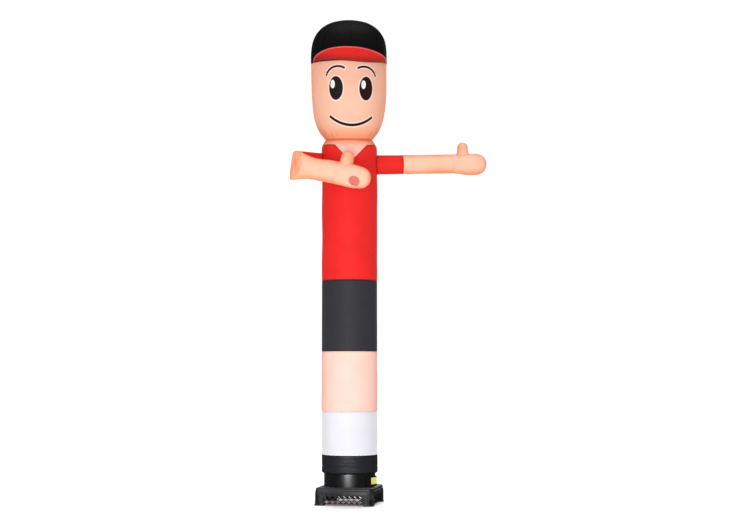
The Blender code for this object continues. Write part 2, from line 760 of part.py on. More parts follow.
def arch_cutter(name, parent, turn):
    """A tunnel with rounded upper corners through two opposite walls of the base."""
    half = ARCH_WIDTH / 2
    bm = box((-half, -BASE_REACH, -BASE_WALL), (half, BASE_REACH, ARCH_HEIGHT))
    upper = [e for e in bm.edges if all(v.co.z > 0 for v in e.verts)]
    upper = [e for e in upper if abs((e.verts[0].co - e.verts[1].co).normalized().y) > 0.9]
    bmesh.ops.bevel(
        bm, geom=upper, offset=ARCH_CORNER, segments=4, profile=0.5, affect="EDGES", material=-1
    )
    bmesh.ops.rotate(bm, verts=bm.verts, cent=(0, 0, 0), matrix=Matrix.Rotation(turn, 3, "Z"))
    return cutter(name, bm, parent)


def feet(parent):
    """Four flat feet, one under each corner, to be joined to the base."""
    bm = bmesh.new()
    middle = BASE_HALF + FOOT_OUT - FOOT_SIZE / 2
    half = FOOT_SIZE / 2
    for x in (-middle, middle):
        for y in (-middle, middle):
            foot = rounded_box((x - half, y - half, 0.0), (x + half, y + half, FOOT_HEIGHT), FOOT_CORNER)
            mesh = bpy.data.meshes.new("foot")
            foot.to_mesh(mesh)
            foot.free()
            bm.from_mesh(mesh)
    return cutter("feet", bm, parent)


def blower_base(parent):
    """The moulded base: a rounded box open below, with an arch in each side and a round hole on top."""
    bm = rounded_box(
        (-BASE_HALF, -BASE_HALF, 0.0), (BASE_HALF, BASE_HALF, BASE_HEIGHT), BASE_CORNER, BASE_TOP_EDGE
    )
    under = [face for face in bm.faces if face.normal.z < -0.9]
    bmesh.ops.delete(bm, geom=under, context="FACES_ONLY")
    base = piece("blower_base", bm, parent, "black_plastic")
    thicken(base, BASE_WALL)
    boolean(base, arch_cutter("arches_front_back", parent, 0.0))
    boolean(base, arch_cutter("arches_sides", parent, math.pi / 2))
    bore = RING_RADIUS - RING_WALL
    hole = axis_rings(((BASE_HEIGHT - 3 * BASE_WALL, bore), (BASE_HEIGHT + BASE_WALL, bore)))
    boolean(base, cutter("ring_hole", loft(hole, RING_SIDES, True, True), parent))
    boolean(base, feet(parent), "UNION")


def guard(name, parent, turn):
    """A flat guard inside one arch, with diamond holes in staggered rows."""
    half = ARCH_WIDTH / 2 + GUARD_MARGIN
    top = ARCH_HEIGHT + GUARD_MARGIN
    y_out = -(BASE_HALF - BASE_WALL - GAP)
    bm = box((-half, y_out, GUARD_BOTTOM), (half, y_out + GUARD_THICK, top))
    row_pitch = (ARCH_HEIGHT - GUARD_BOTTOM) / DIAMOND_ROWS
    half_x = DIAMOND_PITCH / 2 - DIAMOND_BAR / math.sqrt(2)
    half_z = row_pitch / 2 - DIAMOND_BAR / math.sqrt(2)
    holes = bmesh.new()
    for row in range(2 * DIAMOND_ROWS - 1):
        middle_z = GUARD_BOTTOM + row_pitch * (row + 1) / 2
        count = DIAMONDS_WIDE - row % 2
        for index in range(count):
            middle_x = (index - (count - 1) / 2) * DIAMOND_PITCH
            outline = [(half_x, 0.0), (0.0, half_z), (-half_x, 0.0), (0.0, -half_z)]
            start = y_out - GUARD_THICK
            near = [holes.verts.new((middle_x + x, start, middle_z + z)) for x, z in outline]
            face = holes.faces.new(near)
            made = bmesh.ops.extrude_face_region(holes, geom=[face], use_keep_orig=True)
            far = [item for item in made["geom"] if isinstance(item, bmesh.types.BMVert)]
            bmesh.ops.translate(holes, verts=far, vec=(0.0, 3 * GUARD_THICK, 0.0))
    bmesh.ops.recalc_face_normals(holes, faces=holes.faces)
    frame = empty(f"{name}_frame", parent)
    frame.rotation_euler.z = turn
    plate = piece(name, bm, frame, "black_plastic", smooth=False)
    boolean(plate, cutter(f"{name}_holes", holes, frame))


def duct_ring(parent):
    """The fan's duct, which the cuff is drawn over."""
    rows = ((BASE_HEIGHT + GAP, RING_RADIUS), (RING_TOP, RING_RADIUS))
    ring = piece("duct_ring", loft(axis_rings(rows), RING_SIDES), parent, "black_paint")
    thicken(ring, RING_WALL)


def switch_box(parent):
    """The switch box on the duct, and the plain plate on its face."""
    frame = empty("switch_frame", parent)
    frame.rotation_euler.z = math.radians(SWITCH_TURN)
    face = -(RING_RADIUS + SWITCH_DEPTH)
    half = SWITCH_WIDTH / 2
    corners = ((-half, face, SWITCH_BOTTOM), (half, -SWITCH_INSIDE, SWITCH_TOP))
    bm = rounded_box(*corners, SWITCH_EDGE, segments=3)
    body = piece("switch_box", bm, frame, "black_plastic")
    radius = RING_RADIUS + 2 * GAP
    rows = ((BASE_HEIGHT, radius), (CUFF_BOTTOM, radius))
    duct = loft(axis_rings(rows), 2 * RING_SIDES, True, True)
    boolean(body, cutter("duct_envelope", duct, frame))
    half = PLATE_WIDTH / 2
    plate = box((-half, face - GAP - PLATE_THICK, PLATE_BOTTOM), (half, face - GAP, PLATE_TOP))
    piece("switch_plate", plate, frame, "yellow_plate", smooth=False)


def blower(parent):
    """The blower, turned a little on the ground against the figure."""
    frame = empty("blower_frame", parent, (BASE_SIDE, 0.0, 0.0))
    frame.rotation_euler.z = math.radians(BASE_TURN)
    blower_base(frame)
    for index, side in enumerate(("front", "right", "back", "left")):
        guard(f"intake_guard_{side}", frame, index * math.pi / 2)
    duct = empty("duct_frame", parent, (RING_SIDE, 0.0, 0.0))
    duct_ring(duct)
    switch_box(duct)


def main():
    clear_scene()
    figure = empty("figure", None, (AXIS_X, AXIS_Y, 0.0))
    blower(figure)
    torso(figure)
    head = head_frame(figure)
    head_panel(head)
    cap_crown(head)
    peak_sheet("peak_top", True, "black_nylon", head)
    peak_sheet("peak_underside", False, "red_nylon", head)


main()
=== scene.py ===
"""Scene of an inflatable air dancer: a figure sewn from coated nylon, held up by its fan blower.

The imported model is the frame. Each cloth panel is laid out flat as a grid, rolled to its outline,
creased along its seams and given its thickness. The moulded base and the duct are made again with
rounded edges, and the blower's small parts keep their solids and get a finish of their own.
Lengths are in metres and angles in degrees. The figure faces -Y.
"""

import logging
import math
from collections.abc import Callable, Iterable, Sequence
from dataclasses import dataclass, field
from enum import Enum

import bmesh
import bpy
import numpy as np
from mathutils import Matrix, Vector


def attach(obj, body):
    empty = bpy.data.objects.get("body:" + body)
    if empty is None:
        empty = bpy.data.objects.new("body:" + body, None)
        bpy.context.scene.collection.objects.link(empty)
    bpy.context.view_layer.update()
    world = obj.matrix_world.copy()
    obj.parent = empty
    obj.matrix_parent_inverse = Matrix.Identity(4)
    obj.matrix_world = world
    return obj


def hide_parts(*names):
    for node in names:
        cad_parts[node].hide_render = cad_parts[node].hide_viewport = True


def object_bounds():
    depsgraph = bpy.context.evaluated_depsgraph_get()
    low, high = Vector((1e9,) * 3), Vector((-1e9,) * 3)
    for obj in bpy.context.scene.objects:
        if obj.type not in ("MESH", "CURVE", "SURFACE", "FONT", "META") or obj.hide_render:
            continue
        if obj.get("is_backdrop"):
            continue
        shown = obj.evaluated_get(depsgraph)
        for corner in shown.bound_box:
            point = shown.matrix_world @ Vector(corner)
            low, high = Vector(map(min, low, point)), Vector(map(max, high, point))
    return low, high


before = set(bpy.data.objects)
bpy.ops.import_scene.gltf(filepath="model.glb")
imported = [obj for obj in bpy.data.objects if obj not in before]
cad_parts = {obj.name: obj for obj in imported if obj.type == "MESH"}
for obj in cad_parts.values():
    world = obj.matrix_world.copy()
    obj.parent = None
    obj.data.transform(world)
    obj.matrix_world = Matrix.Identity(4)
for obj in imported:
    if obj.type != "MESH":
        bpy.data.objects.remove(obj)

LOG = logging.getLogger("air_dancer")
Array = np.ndarray
Place = Callable[[Array, Array], tuple[Array, Array, Array]]

TAU = 2.0 * math.pi
AXIS = (-0.372, 0.169, 0.0)
CLOTH = 0.0012
GAP = 0.0003
ROUND = 288


class Slot(str, Enum):
    """The record's material slots."""

    BASE = "base_plastic"
    GUARD = "guard_plastic"
    RING = "ring_enamel"
    SWITCH = "switch_plastic"
    PLATE = "plate_yellow"
    CHARCOAL = "nylon_charcoal"
    WHITE = "nylon_white"
    SKIN = "nylon_skin"
    GREY = "nylon_grey"
    RED = "nylon_red"
    FACE = "nylon_face"
    BLACK = "nylon_black"


# ---------------------------------------------------------------------------- curves and creases


def linear(colour: str) -> tuple[float, float, float, float]:
    """Turn an sRGB hex colour to linear light.

    Args:
        colour: Six hex digits, with or without a leading #.

    Returns:
        Red, green, blue and an alpha of 1.
    """
    digits = colour.lstrip("#")
    parts = [int(digits[i : i + 2], 16) / 255.0 for i in (0, 2, 4)]
    red, green, blue = (p / 12.92 if p <= 0.04045 else ((p + 0.055) / 1.055) ** 2.4 for p in parts)
    return red, green, blue, 1.0


def curve(at: Array, knots: Sequence[float], values: Array, level: bool = True) -> Array:
    """Read a smooth curve through a table's rows.

    Args:
        at: Where to read it.
        knots: The rows' places, rising.
        values: The rows' values, one or several columns.
        level: Whether the curve keeps between neighbouring rows, without overshoot.

    Returns:
        The values at those places.
    """
    knots, values = np.asarray(knots, float), np.asarray(values, float)
    step = np.diff(knots)
    if level:
        slope = np.diff(values) / step
        before, after = slope[:-1], slope[1:]
        same = before * after > 0
        ahead, behind = 2 * step[1:] + step[:-1], step[1:] + 2 * step[:-1]
        both = np.where(same, before, 1.0), np.where(same, after, 1.0)
        inner = np.where(same, (ahead + behind) / (ahead / both[0] + behind / both[1]), 0.0)
        slopes = np.concatenate([slope[:1], inner, slope[-1:]])
    else:
        slopes = np.gradient(values, knots, axis=0)
    at = np.clip(at, knots[0], knots[-1])
    row = np.clip(np.searchsorted(knots, at) - 1, 0, len(step) - 1)
    share, width = (at - knots[row]) / step[row], step[row]
    if values.ndim > 1:
        share, width = share[..., None], width[..., None]
    square, cube = share**2, share**3
    return (
        (2 * cube - 3 * square + 1) * values[row]
        + (cube - 2 * square + share) * width * slopes[row]
        + (3 * square - 2 * cube) * values[row + 1]
        + (cube - square) * width * slopes[row + 1]
    )


def crowded(count: int, ends: float = 1.8) -> Array:
    """Rows from 0 to 1 that stand closer together towards both ends.

    Args:
        count: Steps between the rows.
        ends: How strongly they crowd.

    Returns:
        The rows' shares.
    """
    even = np.linspace(-1.0, 1.0, count + 1)
    return 0.5 * (1.0 + np.tanh(ends * even) / math.tanh(ends))


def moved(points: Array, matrix: Matrix) -> Array:
    """Move points by a matrix."""
    table = np.array(matrix)
    return points @ table[:3, :3].T + table[:3, 3]


def limb_matrix(origin: Sequence[float], yaw: float, pitch: float) -> Matrix:
    """The frame of a straight limb, with its X axis along the limb."""
    turn = Matrix.Rotation(math.radians(yaw), 4, "Z") @ Matrix.Rotation(math.radians(-pitch), 4, "Y")
    return Matrix.Translation(Vector(origin)) @ turn


@dataclass(frozen=True)
class Pucker:
    """Short creases that a sewn seam draws into the cloth beside it.

    Attributes:
        count: Creases round the seam.
        depth: Their depth at the seam.
        fade: The distance over which they sink to a third.
        seed: What sets them apart from another seam's.
        stitch: How far the sewn edge is drawn in.
    """

    count: int
    depth: float
    fade: float
    seed: int
    stitch: float = 0.0022

    def drop(self, turn: Array, distance: Array) -> Array:
        """How far the cloth lies below its full outline.

        Args:
            turn: The angle round the seam, in radians.
            distance: The distance from the seam.

        Returns:
            The drop at each point.
        """
        rng = np.random.default_rng(self.seed)
        phase = self.count * turn / 2.0
        for wave in range(1, 8):
            phase = phase + rng.normal(0.0, 1.1) * np.sin(wave * turn + rng.uniform(0.0, TAU))
        strength, length = np.full_like(turn, 0.55), np.ones_like(turn)
        for wave in (2, 5, 9, 14, 21):
            strength = strength + 0.17 * np.sin(wave * turn + rng.uniform(0.0, TAU))
            length = length + 0.22 * np.sin((wave + 2) * turn + rng.uniform(0.0, TAU))
        fold = (1.0 - np.abs(np.sin(phase))) ** 1.4 * np.clip(strength, 0.12, 1.0)
        distance = np.maximum(distance, 0.0)
        creases = self.depth * fold * np.exp(-distance / (self.fade * np.clip(length, 0.35, 2.0)))
        return creases + self.stitch * np.exp(-((distance / 0.0045) ** 2))


def sway(turn: Array, along: Array, seed: int, size: float) -> Array:
    """The slow unevenness of cloth under air, as a height over the outline.

    Args:
        turn: The angle round the panel, in radians.
        along: The distance along it.
        seed: What sets it apart from another panel's.
        size: Its usual height.

    Returns:
        The height at each point.
    """
    rng = np.random.default_rng(seed)
    total = np.zeros(np.broadcast(turn, along).shape)
    for wave in (1, 2, 3, 4, 5, 7, 9):
        pitch, phase = rng.normal(0.0, 9.0), rng.uniform(0.0, TAU)
        total = total + np.sin(wave * turn + pitch * along + phase) / math.sqrt(wave)
    return size * total / 1.6


# ------------------------------------------------------------------------------------- finishes


def plug(tree: bpy.types.NodeTree, node: bpy.types.Node, inputs: dict | Sequence) -> None:
    """Set a node's sockets, or link them.

    Args:
        tree: The node's tree.
        node: The node.
        inputs: For each socket its value or the output it is linked from, by name or in order.
    """
    for name, value in inputs.items() if isinstance(inputs, dict) else enumerate(inputs):
        if isinstance(value, bpy.types.NodeSocket):
            tree.links.new(value, node.inputs[name])
        else:
            node.inputs[name].default_value = value


class Recipe:
    """The node tree of a material or of the world, while it is put together."""

    def __init__(self, owner: bpy.types.ID) -> None:
        """Start on the owner's own tree."""
        owner.use_nodes = True
        self.owner = owner
        self.tree = owner.node_tree

    def add(self, kind: str, inputs: dict | Sequence = (), out: int | str = 0, **settings: object) -> bpy.types.NodeSocket:
        """Add a node with its settings and links.

        Args:
            kind: The node's type, without what all types start with.
            inputs: Its sockets' values or the outputs they are linked from.
            out: The output that is used.
            settings: The node's own properties.

        Returns:
            The output.
        """
        made = self.tree.nodes.new(f"ShaderNode{kind}")
        for name, value in settings.items():
            setattr(made, name, value)
        plug(self.tree, made, inputs)
        return made.outputs[out]

    def finish(self, inputs: dict) -> bpy.types.ID:
        """Set the sockets of the tree's own shader, and give back the owner."""
        shader = next(n for n in self.tree.nodes if n.bl_idname in ("ShaderNodeBsdfPrincipled", "ShaderNodeBackground"))
        plug(self.tree, shader, inputs)
        return self.owner


SMOOTH = {"interpolation_type": "SMOOTHSTEP"}
TINT = {"data_type": "RGBA"}


@dataclass(frozen=True)
class Stroke:
    """A stroke along part of a circle, printed on the face.

    Attributes:
        centre: The circle's middle on the cut.
        radius: The circle's radius.
        span: From where to where across the face it runs.
        half: Half its width.
        lower: Whether it is the circle's lower part.
    """

    centre: tuple[float, float]
    radius: float
    span: tuple[float, float]
    half: float
    lower: bool = False


@dataclass(frozen=True)
class FacePrint:
    """A plain smiling face, printed on the head's cloth before it is sewn.

    Its places are on the cut: metres across from the middle of the front, and metres up from the
    neck seam. A pale rim, where the ink keeps off the skin colour, runs round each shape.
    """

    eyes: tuple[tuple[float, float], ...] = ((-0.1405, 0.4588), (0.1467, 0.4550))
    eye_size: tuple[float, float] = (0.0685, 0.1085)
    shines: tuple[tuple[float, float], ...] = ((-0.1714, 0.4955), (0.1202, 0.4892))
    shine_size: tuple[float, float] = (0.0215, 0.0380)
    strokes: tuple[Stroke, ...] = (
        Stroke((-0.1210, 0.5303), 0.1263, (-0.2365, -0.0620), 0.0100),
        Stroke((0.1263, 0.5150), 0.1372, (0.0680, 0.2490), 0.0100),
        Stroke((0.0130, 0.4846), 0.3600, (-0.2090, 0.2250), 0.0130, True),
    )
    rim: float = 0.0085
    rim_colour: str = "#ffe8dc"
    ink: str = "#0a0101"
    iris: str = "#08050a"

    def disc(self, made: Recipe, place: object, middle: Sequence[float], size: Sequence[float], soft: float = 0.0025) -> bpy.types.NodeSocket:
        """The share of an oval at each point.

        Args:
            made: The recipe.
            place: The place on the cut.
            middle: The oval's middle.
            size: Its half width and half height.
            soft: How wide its edge is.

        Returns:
            The share's socket, 1 inside.
        """
        scale = (1.0 / size[0], 1.0 / size[1], 0.0)
        shift = (-middle[0] / size[0], -middle[1] / size[1], 0.0)
        local = made.add("VectorMath", (place, scale, shift), operation="MULTIPLY_ADD")
        length = made.add("VectorMath", (local,), "Value", operation="LENGTH")
        edge = soft / min(size)
        return made.add("MapRange", (length, 1.0 - edge, 1.0 + edge, 1.0, 0.0), **SMOOTH)

    def line(self, made: Recipe, place: object, stroke: Stroke, grow: float = 0.0, soft: float = 0.0025) -> bpy.types.NodeSocket:
        """The share of a curved stroke with round ends at each point.

        Args:
            made: The recipe.
            place: The place on the cut.
            stroke: The stroke.
            grow: How much wider it is drawn on every side.
            soft: How wide its edge is.

        Returns:
            The share's socket, 1 inside.
        """
        local = made.add("VectorMath", (place, (*stroke.centre, 0.0)), operation="SUBTRACT")
        length = made.add("VectorMath", (local,), "Value", operation="LENGTH")
        off = made.add("Math", (made.add("Math", (length, stroke.radius), operation="SUBTRACT"),), operation="ABSOLUTE")
        half = stroke.half + grow
        side = -1.0 if stroke.lower else 1.0
        start, end = (x - stroke.centre[0] for x in stroke.span)
        across, up = made.add("SeparateXYZ", (local,)), made.add("SeparateXYZ", (local,), 1)
        band = made.add("MapRange", (off, half - soft, half + soft, 1.0, 0.0), **SMOOTH)
        for value, low, high in ((across, start, start + soft), (across, end, end - soft), (up, 0.0, side * soft)):
            share = made.add("MapRange", (value, low, high, 0.0, 1.0))
            band = made.add("Math", (band, share), operation="MULTIPLY")
        for x in (start, end):
            tip = (x + stroke.centre[0], stroke.centre[1] + side * math.sqrt(stroke.radius**2 - x**2))
            band = made.add("Math", (band, self.disc(made, place, tip, (half, half), soft)), operation="MAXIMUM")
        return band

    def draw(self, made: Recipe, place: object, colour: object) -> bpy.types.NodeSocket:
        """Print the face over a colour.

        Args:
            made: The recipe.
            place: The place on the cut.
            colour: The cloth's colour.

        Returns:
            The printed colour's socket.
        """
        wide = tuple(half + self.rim for half in self.eye_size)
        small = tuple(half - 0.013 for half in self.eye_size)
        glint = tuple(half * 0.45 for half in self.shine_size)
        layers = [(self.disc(made, place, eye, wide, 0.005), 0.85, self.rim_colour) for eye in self.eyes]
        layers += [(self.line(made, place, stroke, self.rim, 0.005), 0.85, self.rim_colour) for stroke in self.strokes]
        for eye in self.eyes:
            layers.append((self.disc(made, place, eye, self.eye_size), 1.0, self.ink))
            layers.append((self.disc(made, place, eye, small, 0.005), 1.0, self.iris))
        for shine in self.shines:
            layers.append((self.disc(made, place, shine, self.shine_size), 1.0, "#fffafa"))
            layers.append((self.disc(made, place, shine, glint, 0.008), 0.40, "#8d8488"))
        layers += [(self.line(made, place, stroke), 1.0, self.ink) for stroke in self.strokes]
        for share, strength, ink in layers:
            share = made.add("Math", (share, strength), operation="MULTIPLY")
            colour = made.add("Mix", {0: share, 6: colour, 7: linear(ink)}, 2, **TINT)
        return colour


@dataclass(frozen=True)
class Nylon:
    """Coated ripstop nylon, woven, dyed and calendered: a flat colour with a soft, broad gloss.

    The eye sees faint squares of thicker thread, small crumples that never iron out and a sewn line
    beside each seam; painted shade deepens the tone where the seam draws the cloth together.

    Attributes:
        name: The cloth's plain name.
        colour: Its colour.
        deep: Its deeper colour: of the uneven dye, of the stitches and of the painted shade in folds and at seams.
        sheen: The tint of the light that grazes it.
        velvet: The strength of that light.
        gloss: The strength of its shine.
        roughness: How broad its shine is.
        glow: How strongly the light that comes through is painted on its inner side, as a glow.
        seam: How strongly painted shade deepens the tone beside a seam.
        shade: How strongly painted shade deepens it in a fold.
        crease: The colour of the painted shade in a fold, or nothing where that is the deep one.
        full: The depth of a fold whose painted shade is full.
        painted_flank_shade: How strongly painted shade deepens it along the top and the bottom of a limb, at the elbow
            and towards the hand's end.
        inner: The colour of its inner side and of its painted glow, or nothing where that is its own.
        tones: More painted light beside a seam, darker and lighter: 0 for the first or 1 for the last, the
        distance over which it fades, its strength at the seam and its colour.
        pleats: The depth of fine creases round the cloth.
        face: What is printed on it.
    """

    name: str
    colour: str
    deep: str
    sheen: str
    velvet: float = 0.12
    gloss: float = 0.30
    roughness: float = 0.50
    glow: float = 0.25
    seam: float = 0.55
    shade: float = 0.60
    crease: str = ""
    full: float = 0.0042
    painted_flank_shade: float = 0.0
    inner: str = ""
    tones: tuple[tuple[int, float, float, str], ...] = ()
    pleats: float = 0.0
    face: FacePrint | None = None

    def dress(self) -> bpy.types.Material:
        """Make the cloth's outer material.

        Returns:
            The material.
        """
        made = Recipe(bpy.data.materials.new(self.name))
        cut = made.add("UVMap", uv_map="Cut")
        hem = made.add("UVMap", uv_map="Hem")
        hems = [made.add("SeparateXYZ", (hem,), side) for side in (0, 1)]
        local = made.add("TexCoord", out="Object")
        near = made.add("Math", hems, operation="MINIMUM")
        # Dye takes unevenly over about 200 mm.
        cloudy = made.add("TexNoise", {"Vector": local, "Scale": 5.0, "Detail": 3.0})
        fold = made.add("SeparateXYZ", (made.add("UVMap", uv_map="Fold"),))
        # Uneven dye, then painted shade beside each seam.
        layers = [
            (made.add("MapRange", (cloudy, 0.35, 0.80, 0.0, 0.12), **SMOOTH), self.deep),
            (made.add("MapRange", (near, 0.001, 0.013, self.seam, 0.0), **SMOOTH), self.deep),
        ]
        if self.painted_flank_shade:
            # Painted shade along a limb's top and bottom, broken up by the uneven dye.
            wear_and_painted_light = made.add("Math", (fold.node.outputs[1], cloudy), operation="MULTIPLY")
            layers.append((made.add("MapRange", (wear_and_painted_light, 0.04, 0.46, 0.0, self.painted_flank_shade), **SMOOTH), self.deep))
        # Painted shade and painted highlights beside the seams.
        for side, distance, strength, tone in self.tones:
            layers.append((made.add("MapRange", (hems[side], 0.15 * distance, distance, strength, 0.0), **SMOOTH), tone))
        # Painted shade in the folds, by their depth.
        layers.append((made.add("MapRange", (fold, 0.15 * self.full, self.full, 0.0, self.shade), **SMOOTH), self.crease or self.deep))
        # Stitches are 3 mm long and 0.4 mm wide, and are drawn 9 mm by 1.6 mm so that they show.
        row = made.add("Math", (made.add("Math", (near, 0.0085), operation="SUBTRACT"),), operation="ABSOLUTE")
        beat = made.add("Math", (made.add("SeparateXYZ", (cut,)), 1.0 / 0.012), operation="MULTIPLY")
        beat = made.add("Math", (beat,), operation="FRACT")
        dash = made.add("MapRange", (beat, 0.68, 0.78, 1.0, 0.0), **SMOOTH)
        dash = made.add("Math", (dash, made.add("MapRange", (row, 0.0006, 0.0016, 1.0, 0.0), **SMOOTH)), operation="MULTIPLY")
        layers.append((made.add("Math", (dash, 0.8 * self.seam), operation="MULTIPLY"), self.deep))
        colour = linear(self.colour)
        for share, tone in layers:
            colour = made.add("Mix", {0: share, 6: colour, 7: linear(tone)}, 2, **TINT)
        if self.face:
            colour = self.face.draw(made, cut, colour)
        # Ripstop squares are 5 mm, and are drawn 10 mm so that they show.
        squares = {"Vector": cut, "Scale": 100.0, "Mortar Size": 0.05, "Mortar Smooth": 0.6, "Brick Width": 1.0, "Row Height": 1.0}
        grid = made.add("TexBrick", squares, "Fac", offset=0.0)
        crumple = made.add("TexNoise", {"Vector": local, "Scale": 34.0, "Detail": 4.0, "Roughness": 0.55, "Distortion": 0.6})
        reliefs = [(crumple, 0.5, 0.0022), (grid, 0.4, 0.0004), (dash, 0.6, 0.0008)]
        if self.pleats:
            long = made.add("VectorMath", (cut, (2.5, 42.0, 0.0)), operation="MULTIPLY")
            reliefs.append((made.add("TexNoise", {"Vector": long, "Scale": 1.0, "Detail": 3.0}), 0.9, self.pleats))
        normal = None
        for height, strength, distance in reliefs:
            inputs = {"Height": height, "Strength": strength, "Distance": distance}
            normal = made.add("Bump", inputs if normal is None else {**inputs, "Normal": normal})
        rough = made.add("MapRange", (crumple, 0.3, 0.7, self.roughness - 0.05, self.roughness + 0.07), **SMOOTH)
        return made.finish(
            {
                "Base Color": colour,
                "Roughness": rough,
                "Normal": normal,
                "Specular IOR Level": self.gloss,
                "Sheen Weight": self.velvet,
                "Sheen Roughness": 0.45,
                "Sheen Tint": linear(self.sheen),
            }
        )

    def lining(self) -> bpy.types.Material:
        """Make the cloth's inner material, with a painted glow for the light that comes through.

        Returns:
            The material.
        """
        made = Recipe(bpy.data.materials.new(f"{self.name}, inner side"))
        cloudy = made.add("TexNoise", {"Vector": made.add("TexCoord", out="Object"), "Scale": 14.0, "Detail": 3.0})
        share = made.add("MapRange", (cloudy, 0.3, 0.7, 0.0, 0.5), **SMOOTH)
        colour = made.add("Mix", {0: share, 6: linear(self.inner or self.colour), 7: linear(self.deep)}, 2, **TINT)
        # The painted glow: the inner side shines in its own colour.
        values = {"Base Color": colour, "Emission Color": colour, "Emission Strength": self.glow}
        return made.finish({**values, "Roughness": 0.7, "Specular IOR Level": 0.1})


@dataclass(frozen=True)
class Hard:
    """A hard finish of the blower.

    Attributes:
        name: The material's plain name.
        colour: Its colour.
        wear_and_painted_light: Its colour where it is rubbed or dusty, and of the painted highlight on its upper side.
        roughness: How broad its shine is.
        gloss: The strength of its shine.
        grain: The size of its surface grain.
        relief: How deep the grain is.
        dust: The height over the ground up to which dust shows.
        painted_top_highlight: The height above which its upper side is lightened as a painted highlight.
    """

    name: str
    colour: str
    wear_and_painted_light: str
    roughness: float
    gloss: float
    grain: float
    relief: float
    dust: float = 0.0
    painted_top_highlight: float = 0.0

    def dress(self) -> bpy.types.Material:
        """Make the material.

        Returns:
            The material.
        """
        made = Recipe(bpy.data.materials.new(self.name))
        local = made.add("TexCoord", out="Object")
        rub = made.add("TexNoise", {"Vector": local, "Scale": 9.0, "Detail": 6.0, "Roughness": 0.65})
        share = made.add("MapRange", (rub, 0.45, 0.75, 0.0, 0.35), **SMOOTH)
        if self.dust:
            low = made.add("MapRange", (made.add("SeparateXYZ", (local,), 2), 0.0, self.dust, 0.25, 0.0), **SMOOTH)
            share = made.add("Math", (share, low), operation="ADD", use_clamp=True)
        # A painted highlight lightens the upper side above that height.
        if self.painted_top_highlight:
            high = made.add("MapRange", (made.add("SeparateXYZ", (local,), 2), self.painted_top_highlight, self.painted_top_highlight + 0.0035, 0.0, 0.9), **SMOOTH)
            share = made.add("Math", (share, high), operation="ADD", use_clamp=True)
        colour = made.add("Mix", {0: share, 6: linear(self.colour), 7: linear(self.wear_and_painted_light)}, 2, **TINT)
        grain = made.add("TexNoise", {"Vector": local, "Scale": 1.0 / self.grain, "Detail": 2.0})
        height = made.add("Bump", {"Height": grain, "Strength": 0.5, "Distance": self.relief})
        rough = made.add("MapRange", (rub, 0.3, 0.7, self.roughness - 0.04, self.roughness + 0.08), **SMOOTH)
        return made.finish({"Base Color": colour, "Roughness": rough, "Normal": height, "Specular IOR Level": self.gloss})


# Nylon shell cloth, dyed in each of the figure's colours. The skin-coloured pieces are copies of one cloth whose
# colours differ only by painted light: paler on the leg, deeper and more orange on the arms, the neck and the head.
# Painted shade: a dark red line along both seams of every red panel.
RED = Nylon("red nylon", "#e42522", "#8e0e0b", "#ff4636", 0.32, 0.12, tones=((0, 0.009, 0.55, "#5c0806"), (1, 0.010, 0.65, "#5c0806")))
LEG = Nylon("pale skin-coloured nylon", "#fbc9bc", "#ec9a7c", "#f4a080", 0.50, seam=0.30)
# The arms carry painted shade along their top and bottom and in their folds.
ARM = Nylon("skin-coloured nylon", "#fdc0a4", "#ee8a52", "#ff8040", 0.90, seam=0.05, shade=0.60, crease="#d8765a", full=0.0030, painted_flank_shade=0.60, glow=0.25, inner="#e8bcc0")
# Painted shade deepens the neck towards the head, where the chin shades it.
NECK = Nylon("deep skin-coloured nylon", "#fcbfae", "#ee8650", "#ff7a40", 0.60, seam=0.25, tones=((1, 0.120, 0.85, "#f08a56"),))
# Painted shade deepens the head towards the chin; its folds take a painted darker colour.
FACE = Nylon(
    "printed skin-coloured nylon",
    "#f1bca3",
    "#e27434",
    "#ff8438",
    0.95,
    seam=0.15,
    shade=0.62,
    crease="#c8684a",
    full=0.0026,
    tones=((0, 0.150, 0.60, "#f09058"),),
    face=FacePrint(),
)
# Painted shade: near black along both seams of the cuff.
CHARCOAL = Nylon(
    "charcoal nylon", "#1e2024", "#050506", "#303034", 0.02, 0.45, 0.44, tones=((0, 0.010, 0.9, "#020203"), (1, 0.008, 0.9, "#020203")), pleats=0.010
)
GREY = Nylon("dark grey nylon", "#323136", "#1a191d", "#8a898f", 0.20, 0.16)
BLACK = Nylon("black nylon", "#131314", "#050506", "#2a2a2c", 0.05, 0.06)
# A painted highlight: a white line along the sock's lower seam.
WHITE = Nylon("white nylon", "#dcdbe3", "#b9b6bf", "#ffffff", 0.95, seam=0.30, tones=((0, 0.011, 1.0, "#ffffff"),))
# A darker copy of the red nylon as painted shade under the peak, deepening towards the root, with a painted shadow
# along the root and a painted highlight along the outer edge.
PEAK_RED = Nylon(
    "red nylon of the peak",
    "#da231f",
    "#8c0c08",
    "#ff6a58",
    gloss=0.14,
    seam=0.2,
    tones=((0, 0.150, 0.85, "#8a0b08"), (0, 0.018, 0.9, "#240202"), (1, 0.016, 0.45, "#f08c88")),
)
# The binding tape is darker than the hand, its colour a painted shade round the vent's edge.
BINDING = Nylon("skin-coloured binding tape", "#cc7a68", "#a04838", "#ffb48c", 0.1)

# Injection-moulded polypropylene with a fine grain of 0.5 mm, drawn 2 mm, dust near the ground and a painted highlight
# on its top
MOULDED = Hard("black moulded polypropylene", "#0e0f12", "#5a5c61", 0.36, 0.55, 0.002, 0.0002, 0.03, 0.158)
LATTICE = Hard("black moulded guard", "#0e0f11", "#2c2d30", 0.42, 0.4, 0.002, 0.0002, 0.05)
# Baked enamel on rolled steel: smooth, with the slight orange peel of paint, 4 mm across
ENAMEL = Hard("black baked enamel", "#050506", "#0a0a0c", 0.25, 1.0, 0.004, 0.00001)
